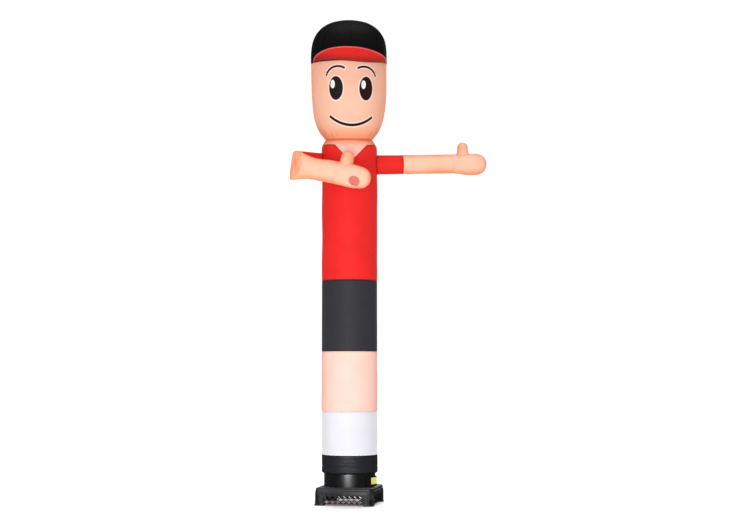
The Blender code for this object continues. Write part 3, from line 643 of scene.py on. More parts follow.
# Moulded ABS, a little glossier than the base
SWITCHES = Hard("black moulded ABS", "#0c0d0f", "#1e1f22", 0.34, 0.4, 0.0015, 0.00015)
# Anodised plate in yellow, bare of any print, with brushed grain drawn 3 mm
YELLOW = Hard("yellow anodised plate", "#eadf66", "#f4eeb4", 0.38, 0.5, 0.003, 0.00005)


# ------------------------------------------------------------------------------ sewing and cutting


def outward(bm: bmesh.types.BMesh) -> None:
    """Turn a shell's faces away from its middle."""
    bmesh.ops.recalc_face_normals(bm, faces=bm.faces)
    middle = sum((v.co for v in bm.verts), Vector()) / len(bm.verts)
    if sum(f.calc_area() * f.normal.dot(f.calc_center_median() - middle) for f in bm.faces) < 0:
        bmesh.ops.reverse_faces(bm, faces=bm.faces)


def shown(name: str, bm: bmesh.types.BMesh, materials: Sequence[bpy.types.Material] = ()) -> bpy.types.Object:
    """Make an object of a bmesh, and free it.

    Args:
        name: The object's name.
        bm: The bmesh.
        materials: Its materials, in order.

    Returns:
        The object.
    """
    mesh = bpy.data.meshes.new(name)
    bm.to_mesh(mesh)
    bm.free()
    made = bpy.data.objects.new(name, mesh)
    bpy.context.scene.collection.objects.link(made)
    for material in materials:
        mesh.materials.append(material)
    return made


def settle(piece: bpy.types.Object, cutters: Iterable[bpy.types.Object] = (), join: bool = False, angle: float = 50.0) -> bpy.types.Object:
    """Apply a piece's modifiers, and cut or join other solids with it.

    Args:
        piece: The piece.
        cutters: Closed solids, which are used up.
        join: Whether they are joined on rather than cut out.
        angle: The edge angle over which an edge stays sharp.

    Returns:
        The piece.
    """
    for other in cutters:
        tool = piece.modifiers.new(other.name, "BOOLEAN")
        tool.operation, tool.solver, tool.object = "UNION" if join else "DIFFERENCE", "EXACT", other
    bpy.context.view_layer.update()
    graph = bpy.context.evaluated_depsgraph_get()
    mesh = bpy.data.meshes.new_from_object(piece.evaluated_get(graph), preserve_all_data_layers=True, depsgraph=graph)
    piece.modifiers.clear()
    piece.data = mesh
    for other in cutters:
        bpy.data.objects.remove(other)
    mesh.shade_smooth()
    mesh.set_sharp_from_angle(angle=math.radians(angle))
    return piece


@dataclass(frozen=True)
class Panel:
    """One cut of cloth, and the solid it stands for.

    Attributes:
        node: The solid's name.
        slot: Its material slot; not used.
        finish: Its cloth.
        columns: Steps across the cut.
        rows: Steps along it.
        sewn_to: The solids it is sewn to; not used.
        outside: Whether the outline is the cloth's outer side.
    """

    node: str
    slot: Slot
    finish: Nylon
    columns: int
    rows: int
    sewn_to: tuple[str, ...]
    outside: bool = True

    def sew(self, place: Place, cutters: Sequence[bpy.types.Object] = (), upward: float = 0.0) -> bpy.types.Object:
        """Lay the cut out flat, roll it into place and give it its thickness.

        Args:
            place: Gives each point of the cut its place, its metres on the cut, and its distance
            from the first and the last seam with the depth of the folds there and, on a
            limb, its share of painted shade along the top and the bottom.
            cutters: Solids that cut holes in it.
            upward: For a cut that isn't rolled, which way its outer side faces: 1 up, -1 down.

        Returns:
            The piece.
        """
        bm = bmesh.new()
        bmesh.ops.create_grid(bm, x_segments=self.columns, y_segments=self.rows, size=0.5)
        materials = (cloth_material(self.finish), cloth_material(self.finish, inner=True))
        piece = shown(f"{self.node}_cloth", bm, materials)
        mesh = piece.data
        flat = np.empty(len(mesh.vertices) * 3)
        mesh.vertices.foreach_get("co", flat)
        flat = flat.reshape(-1, 3)
        points, cut, hem = place(flat[:, 0] + 0.5, flat[:, 1] + 0.5)
        mesh.vertices.foreach_set("co", (points + np.array(AXIS)).ravel())
        corners = np.empty(len(mesh.loops), int)
        mesh.loops.foreach_get("vertex_index", corners)
        fold = np.column_stack([hem, np.zeros(len(hem))])[:, 2:4]
        for label, values in (("Cut", cut), ("Hem", hem[:, :2]), ("Fold", fold)):
            mesh.uv_layers.new(name=label).data.foreach_set("uv", values[corners].ravel())
        bm = bmesh.new()
        bm.from_mesh(mesh)
        if upward:
            bm.normal_update()
            if sum(f.normal.z for f in bm.faces) * upward < 0:
                bmesh.ops.reverse_faces(bm, faces=bm.faces)
        else:
            bmesh.ops.remove_doubles(bm, verts=bm.verts, dist=2e-5)
            outward(bm)
        area = sum(f.calc_area() for f in bm.faces)
        bm.to_mesh(mesh)
        bm.free()
        wall = piece.modifiers.new("cloth", "SOLIDIFY")
        wall.thickness, wall.offset = CLOTH, -1.0 if self.outside else 1.0
        wall.material_offset = 1 if self.outside else 0
        settle(piece, cutters)
        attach(piece, "root")
        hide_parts(self.node)
        return piece


CLOTHS: dict[str, bpy.types.Material] = {}


def cloth_material(finish: Nylon, inner: bool = False) -> bpy.types.Material:
    """A cloth's material, made once."""
    key = f"{finish.name}{inner}"
    if key not in CLOTHS:
        CLOTHS[key] = finish.lining() if inner else finish.dress()
    return CLOTHS[key]


def tube_of(name: str, rings: Sequence[Matrix], sides: int) -> bpy.types.Object:
    """A closed helper solid through ovals, to cut with.

    Args:
        name: Its name.
        rings: Matrices that each place a unit circle.
        sides: Points round each.

    Returns:
        The solid.
    """
    bm = bmesh.new()
    loops = []
    for matrix in rings:
        made = bmesh.ops.create_circle(bm, segments=sides, radius=1.0, matrix=Matrix.Translation(AXIS) @ matrix)
        loops.append(list({edge for vert in made["verts"] for edge in vert.link_edges}))
    for lower, upper in zip(loops, loops[1:]):
        bmesh.ops.bridge_loops(bm, edges=lower + upper)
    for loop in (loops[0], loops[-1]):
        bmesh.ops.edgeloop_fill(bm, edges=loop)
    bmesh.ops.recalc_face_normals(bm, faces=bm.faces)
    made = shown(name, bm)
    made.hide_render = True
    return made


# ---------------------------------------------------------------------------------- the figure


@dataclass(frozen=True)
class Body:
    """The figure's tube, from the cuff to the neck, with the V of the neckline."""

    outline: tuple[tuple[float, float, float], ...] = (
        # height, radius, side
        (0.2815, 0.2388, 0.0035),
        (0.2900, 0.2550, 0.0035),
        (0.3050, 0.2592, 0.0035),
        (0.3400, 0.2590, 0.0035),
        (0.3485, 0.2562, 0.0035),
        (0.3570, 0.2590, 0.0035),
        (0.4536, 0.2584, 0.0020),
        (0.6500, 0.2585, 0.0010),
        (0.8510, 0.2582, 0.0000),
        (1.4030, 0.2577, 0.0000),
        (1.7300, 0.2575, 0.0000),
        (2.0580, 0.2577, 0.0000),
        (2.6500, 0.2580, 0.0000),
        (3.2000, 0.2582, -0.0010),
        (3.2900, 0.2592, -0.0040),
        (3.3130, 0.2572, -0.0045),
        (3.3300, 0.2506, -0.0050),
        (3.3480, 0.2421, -0.0055),
        (3.3670, 0.2290, -0.0065),
        (3.3857, 0.2195, -0.0070),
    )
    neck_low: float = 3.348
    neck_top: float = 3.3857
    neckline: float = 3.330
    v_points: tuple[tuple[float, float], ...] = ((-0.1332, 3.3094), (0.0117, 3.1420), (0.1650, 3.3094))
    nod: float = 6.5
    panels: tuple[tuple[Panel, float, float, Pucker, Pucker], ...] = (
        # the cut, where it starts and ends, and its two seams
        (
            Panel("cuff", Slot.CHARCOAL, CHARCOAL, ROUND, 36, ("sock_panel", "duct_ring")),
            0.2815,
            0.4536,
            Pucker(0, 0.0, 0.01, 1, 0.0),
            Pucker(46, 0.0022, 0.016, 2),
        ),
        (Panel("sock_panel", Slot.WHITE, WHITE, ROUND, 44, ("cuff", "leg_panel")), 0.4536, 0.851, Pucker(46, 0.0034, 0.030, 2), Pucker(40, 0.0022, 0.020, 3)),
        (Panel("leg_panel", Slot.SKIN, LEG, ROUND, 48, ("sock_panel", "shorts_panel")), 0.851, 1.403, Pucker(40, 0.0022, 0.022, 3), Pucker(42, 0.0022, 0.022, 4)),
        (Panel("shorts_panel", Slot.GREY, GREY, ROUND, 50, ("leg_panel", "shirt_panel")), 1.403, 2.058, Pucker(42, 0.0022, 0.022, 4), Pucker(44, 0.0026, 0.024, 5)),
    )
    shirt: Panel = Panel("shirt_panel", Slot.RED, RED, ROUND, 104, ("shorts_panel", "neck_panel"))
    neck: Panel = Panel("neck_panel", Slot.SKIN, NECK, ROUND, 26, ("shirt_panel", "head_panel"))
    waist: Pucker = Pucker(44, 0.0026, 0.024, 5)
    collar: Pucker = Pucker(40, 0.0024, 0.018, 6)
    throat: Pucker = Pucker(54, 0.0040, 0.020, 7)

    def radius(self, height: Array) -> Array:
        """The tube's outer radius at a height."""
        rows = np.array(self.outline)
        return curve(height, rows[:, 0], rows[:, 1])

    def side(self, height: Array) -> Array:
        """How far the tube's middle lies to the right of its axis at a height."""
        rows = np.array(self.outline)
        return curve(height, rows[:, 0], rows[:, 2])

    def reach(self, points: Array) -> Array:
        """How far points stand out of the tube's surface."""
        x, y, z = points.T
        return np.hypot(x - self.side(z), y) - self.radius(z)

    def meets(self, point_at: Callable[[Array], Array], low: Array, high: Array) -> Array:
        """Find where each line of a limb comes out of the tube.

        Args:
            point_at: Gives the points at a distance along every line.
            low: A distance inside the tube.
            high: A distance outside it.

        Returns:
            The distance of the tube's surface, line by line.
        """
        for _ in range(36):
            middle = (low + high) / 2.0
            inside = self.reach(point_at(middle)) < -0.0004
            low, high = np.where(inside, middle, low), np.where(inside, high, middle)
        return high

    def corner_turns(self) -> list[float]:
        """The angles of the V's three corners, from the front."""
        found = []
        for x, z in self.v_points:
            height = np.array([z])
            found.append(float(np.arcsin((x - self.side(height)[0]) / self.radius(height)[0])))
        return found

    def neck_height(self, turn: Array) -> Array:
        """The neckline's height at each angle: a V in front, level behind."""
        corners = [math.sin(angle) for angle in self.corner_turns()]
        heights = [z for _, z in self.v_points]
        ahead = np.interp(np.sin(turn), [-1.0, *corners, 1.0], [self.neckline, *heights, self.neckline])
        return np.where(np.cos(turn) > 0, ahead, self.neckline)

    def turns(self, share: Array) -> Array:
        """Angles round the shirt and the neck, with a column at each corner of the V."""
        corners = self.corner_turns()
        knots = [0.0, *(round((angle + math.pi) / TAU * ROUND) / ROUND for angle in corners), 1.0]
        return np.interp(share, knots, [-math.pi, *corners, math.pi])

    def sheet(self, turn: Array, height: Array, drop: Array, tilt: Array | float = 0.0) -> Array:
        """Points of the tube's surface.

        Args:
            turn: The angles from the front.
            height: The heights.
            drop: How far the cloth is drawn in.
            tilt: How much of the head's nod the level has, from 0 to 1.

        Returns:
            The points.
        """
        radius = self.radius(height) - drop
        x, y = radius * np.sin(turn), -radius * np.cos(turn)
        nod = np.radians(self.nod) * tilt
        return np.stack([x + self.side(height), y * np.cos(nod), height + y * np.sin(nod)], axis=1)

    def build_plain(self) -> None:
        """Make the level panels from the cuff to the shorts."""
        for index, (panel, start, end, low_seam, high_seam) in enumerate(self.panels):

            def place(across: Array, along: Array) -> tuple[Array, Array, Array]:
                """Roll a level panel round the tube."""
                turn = TAU * (across - 0.5)
                steps = np.linspace(0.0, 1.0, panel.rows + 1) if index == 0 else crowded(panel.rows)
                share = steps[np.rint(along * panel.rows).astype(int)]
                height = start + GAP / 2 + share * (end - start - GAP)
                below, above = height - start, end - height
                drop = high_seam.drop(turn, above)
                if index:
                    drop = drop + low_seam.drop(turn, below)
                else:
                    # The hem is gathered by its cord, so that its pleats stand out over the duct.
                    pleats = Pucker(58, 0.0050, 0.030, 11, 0.0).drop(turn, below)
                    bands = Pucker(30, 0.0022, 0.018, 12, 0.0).drop(turn, np.abs(height - 0.3485))
                    drop = drop + bands - pleats * np.exp(-below / 0.05)
                creases = drop
                drop = drop - sway(turn, height, 20 + index, 0.0010) * np.clip(np.minimum(below, above) / 0.08, 0.0, 1.0)
                drop = drop + 0.0015 * np.exp(-(((math.pi - np.abs(turn)) * 0.258 / 0.005) ** 2))
                cut = np.stack([turn * 0.2585, height - start], axis=1)
                return self.sheet(turn, height, drop), cut, np.stack([below, above, creases], axis=1)

            panel.sew(place)

    def build_shirt(self, arms: Sequence["Arm"]) -> None:
        """Make the shirt, with its neckline and a hole for each arm."""
        start = self.panels[-1][2]

        def place(across: Array, along: Array) -> tuple[Array, Array, Array]:
            """Roll the shirt round the tube, with its top edge along the neckline."""
            turn = self.turns(across)
            share = crowded(self.shirt.rows, 1.5)[np.rint(along * self.shirt.rows).astype(int)]
            level = start + GAP / 2 + share * (self.neckline - start - GAP / 2)
            top = self.neck_height(turn) - GAP
            height = level + (top - self.neckline) * np.clip((level - 2.70) / (self.neckline - 2.70), 0.0, 1.0)
            below, above = height - start, top - height
            drop = self.waist.drop(turn, below) + self.collar.drop(turn, above)
            creases = drop
            drop = drop - sway(turn, height, 30, 0.0016) * np.clip(np.minimum(below, above) / 0.10, 0.0, 1.0)
            drop = drop + 0.0015 * np.exp(-(((math.pi - np.abs(turn)) * 0.258 / 0.005) ** 2))
            flat = self.sheet(turn, height, np.zeros_like(turn))
            for arm in arms:
                drop = drop + arm.shoulder_drop(flat)
            cut = np.stack([turn * 0.2585, height - start], axis=1)
            return self.sheet(turn, height, drop), cut, np.stack([below, above, creases], axis=1)

        self.shirt.sew(place, [arm.armhole() for arm in arms])

    def build_neck(self) -> None:
        """Make the neck, from the V of the neckline to the head's tilted seam."""

        def place(across: Array, along: Array) -> tuple[Array, Array, Array]:
            """Roll the neck round the tube, narrowing to the head."""
            turn = self.turns(across)
            share = crowded(self.neck.rows, 1.3)[np.rint(along * self.neck.rows).astype(int)]
            low = self.neck_height(turn)
            height = low + share * (self.neck_top - low)
            below, above = height - low, self.neck_top - height
            drop = self.collar.drop(turn, below) + self.throat.drop(turn, above)
            tilt = np.clip((height - self.neck_low) / (self.neck_top - self.neck_low), 0.0, 1.0)
            cut = np.stack([turn * 0.2500, height - self.v_points[1][1]], axis=1)
            return self.sheet(turn, height, drop, tilt), cut, np.stack([below, above, drop], axis=1)

        self.neck.sew(place)


BODY = Body()


@dataclass(frozen=True)
class Head:
    """The head with its printed face, and the cap with its crown and peak."""

    turned: float = 4.0
    rim: float = 0.709
    outline: tuple[tuple[float, float], ...] = (
        # along the head's axis, radius
        (0.000, 0.2195),
        (0.030, 0.2440),
        (0.075, 0.2770),
        (0.130, 0.3020),
        (0.194, 0.3220),
        (0.280, 0.3360),
        (0.400, 0.3470),
        (0.520, 0.3510),
        (0.709, 0.3535),
    )
    crown_outline: tuple[tuple[float, float], ...] = (
        (0.709, 0.3558),
        (0.800, 0.3550),
        (0.885, 0.3460),
        (0.955, 0.3230),
        (1.0125, 0.2835),
        (1.0595, 0.2270),
        (1.092, 0.1540),
        (1.110, 0.0600),
        (1.1135, 0.0000),
    )
    cut_radius: float = 0.350
    head: Panel = Panel("head_panel", Slot.FACE, FACE, 336, 88, ("neck_panel", "cap_crown"))
    crown: Panel = Panel("cap_crown", Slot.BLACK, BLACK, 336, 60, ("head_panel", "peak_top"))
    peak_top: Panel = Panel("peak_top", Slot.BLACK, BLACK, 132, 24, ("cap_crown", "peak_underside"), False)
    peak_under: Panel = Panel("peak_underside", Slot.RED, PEAK_RED, 132, 24, ("head_panel", "peak_top"), False)
    chin: Pucker = Pucker(60, 0.0060, 0.026, 7, 0.0035)
    band: Pucker = Pucker(50, 0.0022, 0.018, 8)
    peak_edge: Pucker = Pucker(34, 0.0030, 0.020, 9, 0.0008)
    peak_root: Pucker = Pucker(40, 0.0034, 0.030, 10, 0.0008)
    peak_length: float = 0.214
    peak_lift: float = 27.7
    peak_spread: float = 67.0
    peak_chord: float = 0.174
    peak_half_width: float = 0.338
    peak_dome: float = 0.018
    root_top: float = 0.016
    root_bottom: float = 0.006
    sag: float = 0.021
    sag_at: float = 25.0
    sag_spread: float = 61.0

    def frame(self) -> Matrix:
        """The head's own frame: it stands on the neck's top, turned and then nodded."""
        top = np.array([BODY.neck_top])
        place = Matrix.Translation((float(BODY.side(top)[0]), 0.0, BODY.neck_top))
        nod = Matrix.Rotation(math.radians(BODY.nod), 4, "X")
        return place @ nod @ Matrix.Rotation(math.radians(self.turned), 4, "Z")

    def radius(self, along: Array) -> Array:
        """The radius of the head or the crown at a distance along the head's axis."""
        low, high = np.array(self.outline), np.array(self.crown_outline)
        return np.where(along < self.rim, curve(along, low[:, 0], low[:, 1]), curve(along, high[:, 0], high[:, 1]))

    def build_head(self) -> None:
        """Make the head, gathered at the chin."""
        rows = np.array(self.outline)

        def place(across: Array, along: Array) -> tuple[Array, Array, Array]:
            """Roll the head from the neck seam to the cap's rim."""
            turn = TAU * (across - 0.5)
            share = crowded(self.head.rows, 1.4)[np.rint(along * self.head.rows).astype(int)]
            height = GAP / 2 + share * (self.rim - GAP)
            below, above = height, self.rim - height
            drop = self.chin.drop(turn, below) + self.band.drop(turn, above)
            side = np.clip(1.6 * np.sin(turn) ** 2, 0.0, 1.0)
            long = Pucker(44, 0.0100, 0.105, 14, 0.0).drop(turn, below) * side
            drop = drop + long * np.clip(below / 0.03, 0.0, 1.0)
            creases = drop * (0.3 + 0.7 * side)
            drop = drop - sway(turn, height, 40, 0.0016) * np.clip(np.minimum(below, above) / 0.12, 0.0, 1.0)
            radius = curve(height, rows[:, 0], rows[:, 1]) - drop
            points = np.stack([radius * np.sin(turn), -radius * np.cos(turn), height], axis=1)
            cut = np.stack([turn * self.cut_radius, height], axis=1)
            return moved(points, self.frame()), cut, np.stack([below, above, creases], axis=1)

        self.head.sew(place)

    def build_crown(self) -> None:
        """Make the cap's crown, sewn from eight gores and closed at its top."""
        rows = np.array(self.crown_outline)
        steps = np.concatenate([[0.0], np.cumsum(np.hypot(*np.diff(rows, axis=0).T))])

        def place(across: Array, along: Array) -> tuple[Array, Array, Array]:
            """Roll the crown from its rim to its pole."""
            turn = TAU * (across - 0.5)
            share = crowded(self.crown.rows, 1.1)[np.rint(along * self.crown.rows).astype(int)]
            run = share * steps[-1]
            height = curve(run, steps, rows[:, 0]) + GAP / 2
            radius = curve(run, steps, rows[:, 1])
            full = np.clip((steps[-1] - run) / 0.10, 0.0, 1.0)
            gore = np.abs(np.sin(4.0 * turn))
            drop = (0.0030 * np.exp(-gore * radius / 0.016) + 0.0015 * (1.0 - gore)) * np.clip(run / 0.10, 0.0, 1.0) * full
            drop = drop + self.band.drop(turn, run) * full
            creases = drop
            drop = drop - sway(turn, height, 41, 0.0014) * full * np.clip(run / 0.08, 0.0, 1.0)
            radius = radius - drop
            points = np.stack([radius * np.sin(turn), -radius * np.cos(turn), height], axis=1)
            far = np.full_like(run, 0.2)
            cut = np.stack([turn * self.cut_radius, run], axis=1)
            return moved(points, self.frame()), cut, np.stack([run, far, creases], axis=1)

        self.crown.sew(place)

    def reach(self, angle: Array) -> Array:
        """How far the peak stands out from the rim at an angle from its front: an oval's outline."""
        rim = self.crown_outline[0][1]
        forward = rim + self.peak_length - self.peak_chord
        sine, cosine = np.sin(angle) / self.peak_half_width, np.cos(angle) / forward
        offset = self.peak_chord / forward
        square = sine**2 + cosine**2
        root = np.sqrt((cosine * offset) ** 2 - square * (offset**2 - 1.0))
        return (cosine * offset + root) / square - rim

    def build_peak(self) -> None:
        """Make the peak's two crescents, sewn together along the outer edge."""
        rim = self.crown_outline[0][1]
        for panel, top in ((self.peak_top, True), (self.peak_under, False)):

            def place(across: Array, along: Array) -> tuple[Array, Array, Array]:
                """Bend a crescent round the cap's front."""
                angle = math.radians(self.peak_spread) * (2.0 * across - 1.0)
                share = crowded(panel.rows, 1.0)[np.rint(along * panel.rows).astype(int)]
                out = self.reach(angle)
                off = np.clip(np.abs((np.degrees(angle) - self.sag_at) / self.sag_spread), 0.0, 1.0)
                sag = self.sag * np.cos(math.pi / 2 * off) ** 2
                if top:
                    root = np.full_like(angle, self.rim + self.root_top)
                    start = self.radius(root) + CLOTH + 0.0005
                else:
                    root = self.rim + self.root_bottom - sag
                    start = self.radius(root) + 0.0014
                edge = self.rim + out * math.tan(math.radians(self.peak_lift)) - sag + (GAP / 2 if top else -GAP / 2)
                full = np.clip(out / self.peak_length, 0.0, 1.0)
                bulge = self.peak_dome * np.sin(math.pi * share) * full
                from_root, from_edge = share * out, (1.0 - share) * out
                creases = self.peak_edge.drop(3.0 * angle, from_edge) + self.peak_root.drop(3.0 * angle, from_root)
                bulge = bulge - creases * np.sin(math.pi * share) ** 0.5 * full
                side = 1.0 if top else -1.0
                radius = start + share * (rim + out - start)
                height = root + share * (edge - root) + side * bulge
                points = np.stack([radius * np.sin(angle), -radius * np.cos(angle), height], axis=1)
                cut = np.stack([angle * 0.45, share * np.hypot(out, out * 0.5)], axis=1)
                return moved(points, self.frame()), cut, np.stack([from_root, from_edge, creases], axis=1)

            panel.sew(place, upward=1.0 if top else -1.0)


HEAD = Head()


@dataclass(frozen=True)
class Hand:
    """A hand with its thumb and its air vent, in the frame of a straight limb.

    Attributes:
        label: Which arm it belongs to.
        limb: The limb's frame.
        wrist: Where its seam lies along the limb.
        flat: Whether it is pressed flat against the chest.
        thumb_along: The thumb's place, from the wrist.
        thumb_outline: The thumb's height over the hand's middle, and its radius.
        vent_side: 1 where the vent is at the back, -1 where it is in front.
        seed: What sets its creases apart.
    """

    label: str
    limb: Matrix
    wrist: float
    flat: bool
    thumb_along: float
    thumb_outline: tuple[tuple[float, float], ...]
    vent_side: float
    seed: int
    outline: tuple[tuple[float, float, float], ...] = (
        # along, radius, drop of the middle
        (0.000, 0.0886, 0.0000),
        (0.060, 0.0932, 0.0020),
        (0.115, 0.0990, 0.0055),
        (0.175, 0.1010, 0.0080),
        (0.230, 0.0990, 0.0085),
        (0.270, 0.0880, 0.0080),
        (0.300, 0.0640, 0.0070),
        (0.317, 0.0300, 0.0060),
        (0.3205, 0.0000, 0.0060),
    )
    flatness: tuple[tuple[float, float, float], ...] = (
        # along, half depth and half height as shares of the radius
        (0.000, 0.8296, 1.1795),
        (0.100, 0.84, 1.080),
        (0.175, 0.88, 1.045),
        (0.230, 0.94, 0.990),
        (0.330, 1.00, 0.980),
    )
    vent_along: float = 0.199
    vent_size: tuple[float, float] = (0.045, 0.036)
    vent_drop: float = 0.046
    thumb_hole: float = 0.050
    columns: int = 144
    rows: int = 64

    def steps(self) -> Array:
        """The distance over the cloth from the wrist to each row of the outline."""
        rows = np.array(self.outline)[:, :2]
        return np.concatenate([[0.0], np.cumsum(np.hypot(*np.diff(rows, axis=0).T))])

    def oval(self, along: Array, radius: Array, drop: Array) -> tuple[Array, Array, Array]:
        """Half depth, half height and drop of the hand's section."""
        if not self.flat:
            return radius, radius, drop
        rows = np.array(self.flatness)
        return radius * curve(along, rows[:, 0], rows[:, 1]), radius * curve(along, rows[:, 0], rows[:, 2]), 0.0 * drop

    def surface(self, x: Array, y: Array) -> Array:
        """The height of the hand's upper side over a place, in the limb's frame."""
        rows = np.array(self.outline)
        along = np.clip(x - self.wrist, 0.0, 0.316)
        radius, drop = (curve(along, rows[:, 0], rows[:, i]) for i in (1, 2))
        depth, height, drop = self.oval(along, radius, drop)
        return height * np.sqrt(np.clip(1.0 - (y / depth) ** 2, 0.0, 1.0)) - drop

    def front(self, x: Array, z: Array) -> Array:
        """The distance of the hand's side from its middle plane, in the limb's frame."""
        rows = np.array(self.outline)
        along = np.clip(x - self.wrist, 0.0, 0.316)
        radius, drop = (curve(along, rows[:, 0], rows[:, i]) for i in (1, 2))
        depth, height, drop = self.oval(along, radius, drop)
        return depth * np.sqrt(np.clip(1.0 - ((z + drop) / height) ** 2, 0.0, 1.0))

    def build(self) -> None:
        """Make the hand, its thumb and the vent's binding."""
        self.build_hand()
        self.build_thumb()
        self.build_binding()

    def build_hand(self) -> None:
        """Make the hand, with the thumb's hole and the vent."""
        rows, steps = np.array(self.outline), self.steps()
        panel = Panel(f"{self.label}_hand", Slot.SKIN, ARM, self.columns, self.rows, (f"{self.label}_forearm",))
        wrist, tip = Pucker(22, 0.0010, 0.016, self.seed, 0.0008), Pucker(20, 0.0046, 0.032, self.seed + 1, 0.0)
        thumb = Pucker(16, 0.0030, 0.022, self.seed + 2, 0.0010)

        def place(across: Array, along: Array) -> tuple[Array, Array, Array]:
            """Roll the hand from the wrist to its blunt end."""
            turn = TAU * (across - 0.5)
            share = crowded(panel.rows, 1.2)[np.rint(along * panel.rows).astype(int)]
            run = share * steps[-1]
            x, radius, sink = (curve(run, steps, rows[:, i]) for i in (0, 1, 2))
            rest = steps[-1] - run
            drop = wrist.drop(turn, run) + tip.drop(turn, rest - 0.045) * np.clip(rest / 0.05, 0.0, 1.0)
            creases = drop
            drop = drop - sway(turn, x, self.seed + 3, 0.0012) * np.clip(run / 0.05, 0.0, 1.0) * np.clip(rest / 0.06, 0.0, 1.0)
            around = np.hypot(x - self.thumb_along, radius * np.sin(turn))
            bearing = np.arctan2(radius * np.sin(turn), x - self.thumb_along)
            drop = drop + np.where(np.cos(turn) > 0, thumb.drop(bearing, around - self.thumb_outline[0][1]), 0.0)
            depth, height, sink = self.oval(x, radius, sink)
            keep = 1.0 - drop / np.maximum(radius, drop + 1e-6)
            x = x + self.wrist + GAP / 2
            points = np.stack([x, -depth * keep * np.sin(turn), height * keep * np.cos(turn) - sink], axis=1)
            cut = np.stack([turn * 0.0990, run], axis=1)
            # The share of painted shade along the hand's top and bottom and towards its end.
            wear_and_painted_light = 0.65 * np.maximum(np.cos(turn) ** 2, np.exp(-((rest / 0.07) ** 2)))
            return moved(points, self.limb), cut, np.stack([run, np.full_like(run, 0.2), creases, wear_and_painted_light], axis=1)

        panel.sew(place, [self.thumb_cutter(), self.vent_cutter()])

    def thumb_cutter(self) -> bpy.types.Object:
        """The solid that cuts the hole under the thumb."""
        x = self.wrist + self.thumb_along
        size = Matrix.Diagonal((self.thumb_hole, self.thumb_hole, 1.0, 1.0))
        rings = [self.limb @ Matrix.Translation((x, 0.0, z)) @ size for z in (0.03, 0.16)]
        return tube_of(f"{self.label}_thumb_cutter", rings, 48)

    def vent_cutter(self) -> bpy.types.Object:
        """The solid that cuts the vent."""
        turn = Matrix.Rotation(math.radians(90), 4, "X") @ Matrix.Diagonal((*self.vent_size, 1.0, 1.0))
        x = self.wrist + self.vent_along
        rings = [self.limb @ Matrix.Translation((x, self.vent_side * y, -self.vent_drop)) @ turn for y in (0.02, 0.16)]
        return tube_of(f"{self.label}_vent_cutter", rings, 64)

    def build_thumb(self) -> None:
        """Make the thumb, saddle-cut to the hand and closed at its tip."""
        rows = np.array((*self.thumb_outline, (self.thumb_outline[-1][0] + 0.0025, 0.0)))
        steps = np.concatenate([[0.0], np.cumsum(np.hypot(*np.diff(rows, axis=0).T))])
        panel = Panel(f"{self.label}_thumb", Slot.SKIN, ARM, 112, 40, (f"{self.label}_hand",))
        seam, tip = Pucker(16, 0.0028, 0.018, self.seed + 2, 0.0), Pucker(12, 0.0022, 0.014, self.seed + 5, 0.0)
        middle = self.wrist + self.thumb_along

        def place(across: Array, along: Array) -> tuple[Array, Array, Array]:
            """Roll the thumb from the hand's surface to its tip."""
            turn = TAU * (across - 0.5)
            low, high = np.zeros_like(turn), np.full_like(turn, steps[3])
            for _ in range(30):
                half = (low + high) / 2.0
                height, radius = (curve(half, steps, rows[:, i]) for i in (0, 1))
                inside = height < self.surface(middle + radius * np.sin(turn), -radius * np.cos(turn)) - 0.0006
                low, high = np.where(inside, half, low), np.where(inside, high, half)
            share = crowded(panel.rows, 1.1)[np.rint(along * panel.rows).astype(int)]
            run = high + share * (steps[-1] - high)
            below, rest = run - high, steps[-1] - run
            height, radius = (curve(run, steps, rows[:, i]) for i in (0, 1))
            drop = (seam.drop(turn, below) + tip.drop(turn, rest - 0.03)) * np.clip(rest / 0.04, 0.0, 1.0)
            radius = radius - drop + 0.0035 * np.exp(-below / 0.005)
            points = np.stack([middle + radius * np.sin(turn), -radius * np.cos(turn), height], axis=1)
            cut = np.stack([turn * 0.0620, run], axis=1)
            # The last column is the thumb's share of painted shade, more where it faces along the arm.
            return moved(points, self.limb), cut, np.stack([below, np.full_like(run, 0.2), drop, 0.5 + 0.5 * np.sin(turn) ** 2], axis=1)

        panel.sew(place)

    def build_binding(self) -> None:
        """Make the folded tape that binds the vent's edge, 9 mm wide."""
        bm = bmesh.new()
        bmesh.ops.create_grid(bm, x_segments=96, y_segments=6, size=0.5)
        wide, high = self.vent_size
        points = []
        for vert in bm.verts:
            turn, out = TAU * (vert.co.x + 0.5), (vert.co.y + 0.5) * 0.010 - 0.0015
            x = self.wrist + self.vent_along + (wide + out) * math.cos(turn)
            z = -self.vent_drop + (high + out) * math.sin(turn)
            points.append((x, z, 0.0016 + 0.0012 * math.sin(math.pi * (vert.co.y + 0.5))))
        x, z, lift = np.array(points).T
        y = self.vent_side * (self.front(x, z) + lift)
        placed = moved(np.stack([x, y, z], axis=1), self.limb) + np.array(AXIS)
        for vert, point in zip(bm.verts, placed):
            vert.co = point
        bmesh.ops.remove_doubles(bm, verts=bm.verts, dist=2e-5)
        bm.normal_update()
        out = self.limb.to_3x3() @ Vector((0.0, self.vent_side, 0.0))
        if sum(face.normal.dot(out) for face in bm.faces) < 0:
            bmesh.ops.reverse_faces(bm, faces=bm.faces)
        uv = bm.loops.layers.uv.new("Cut")
        hem = bm.loops.layers.uv.new("Hem")
        for face in bm.faces:
            for loop in face.loops:
                local = loop.vert.co
                loop[uv].uv = (local.x, local.z)
                loop[hem].uv = (0.2, 0.2)
        area = sum(face.calc_area() for face in bm.faces)
        piece = shown(f"{self.label}_vent_binding", bm, [cloth_material(BINDING)])
        wall = piece.modifiers.new("tape", "SOLIDIFY")
        wall.thickness, wall.offset = 0.0016, -1.0
        settle(piece)
        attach(piece, "root")



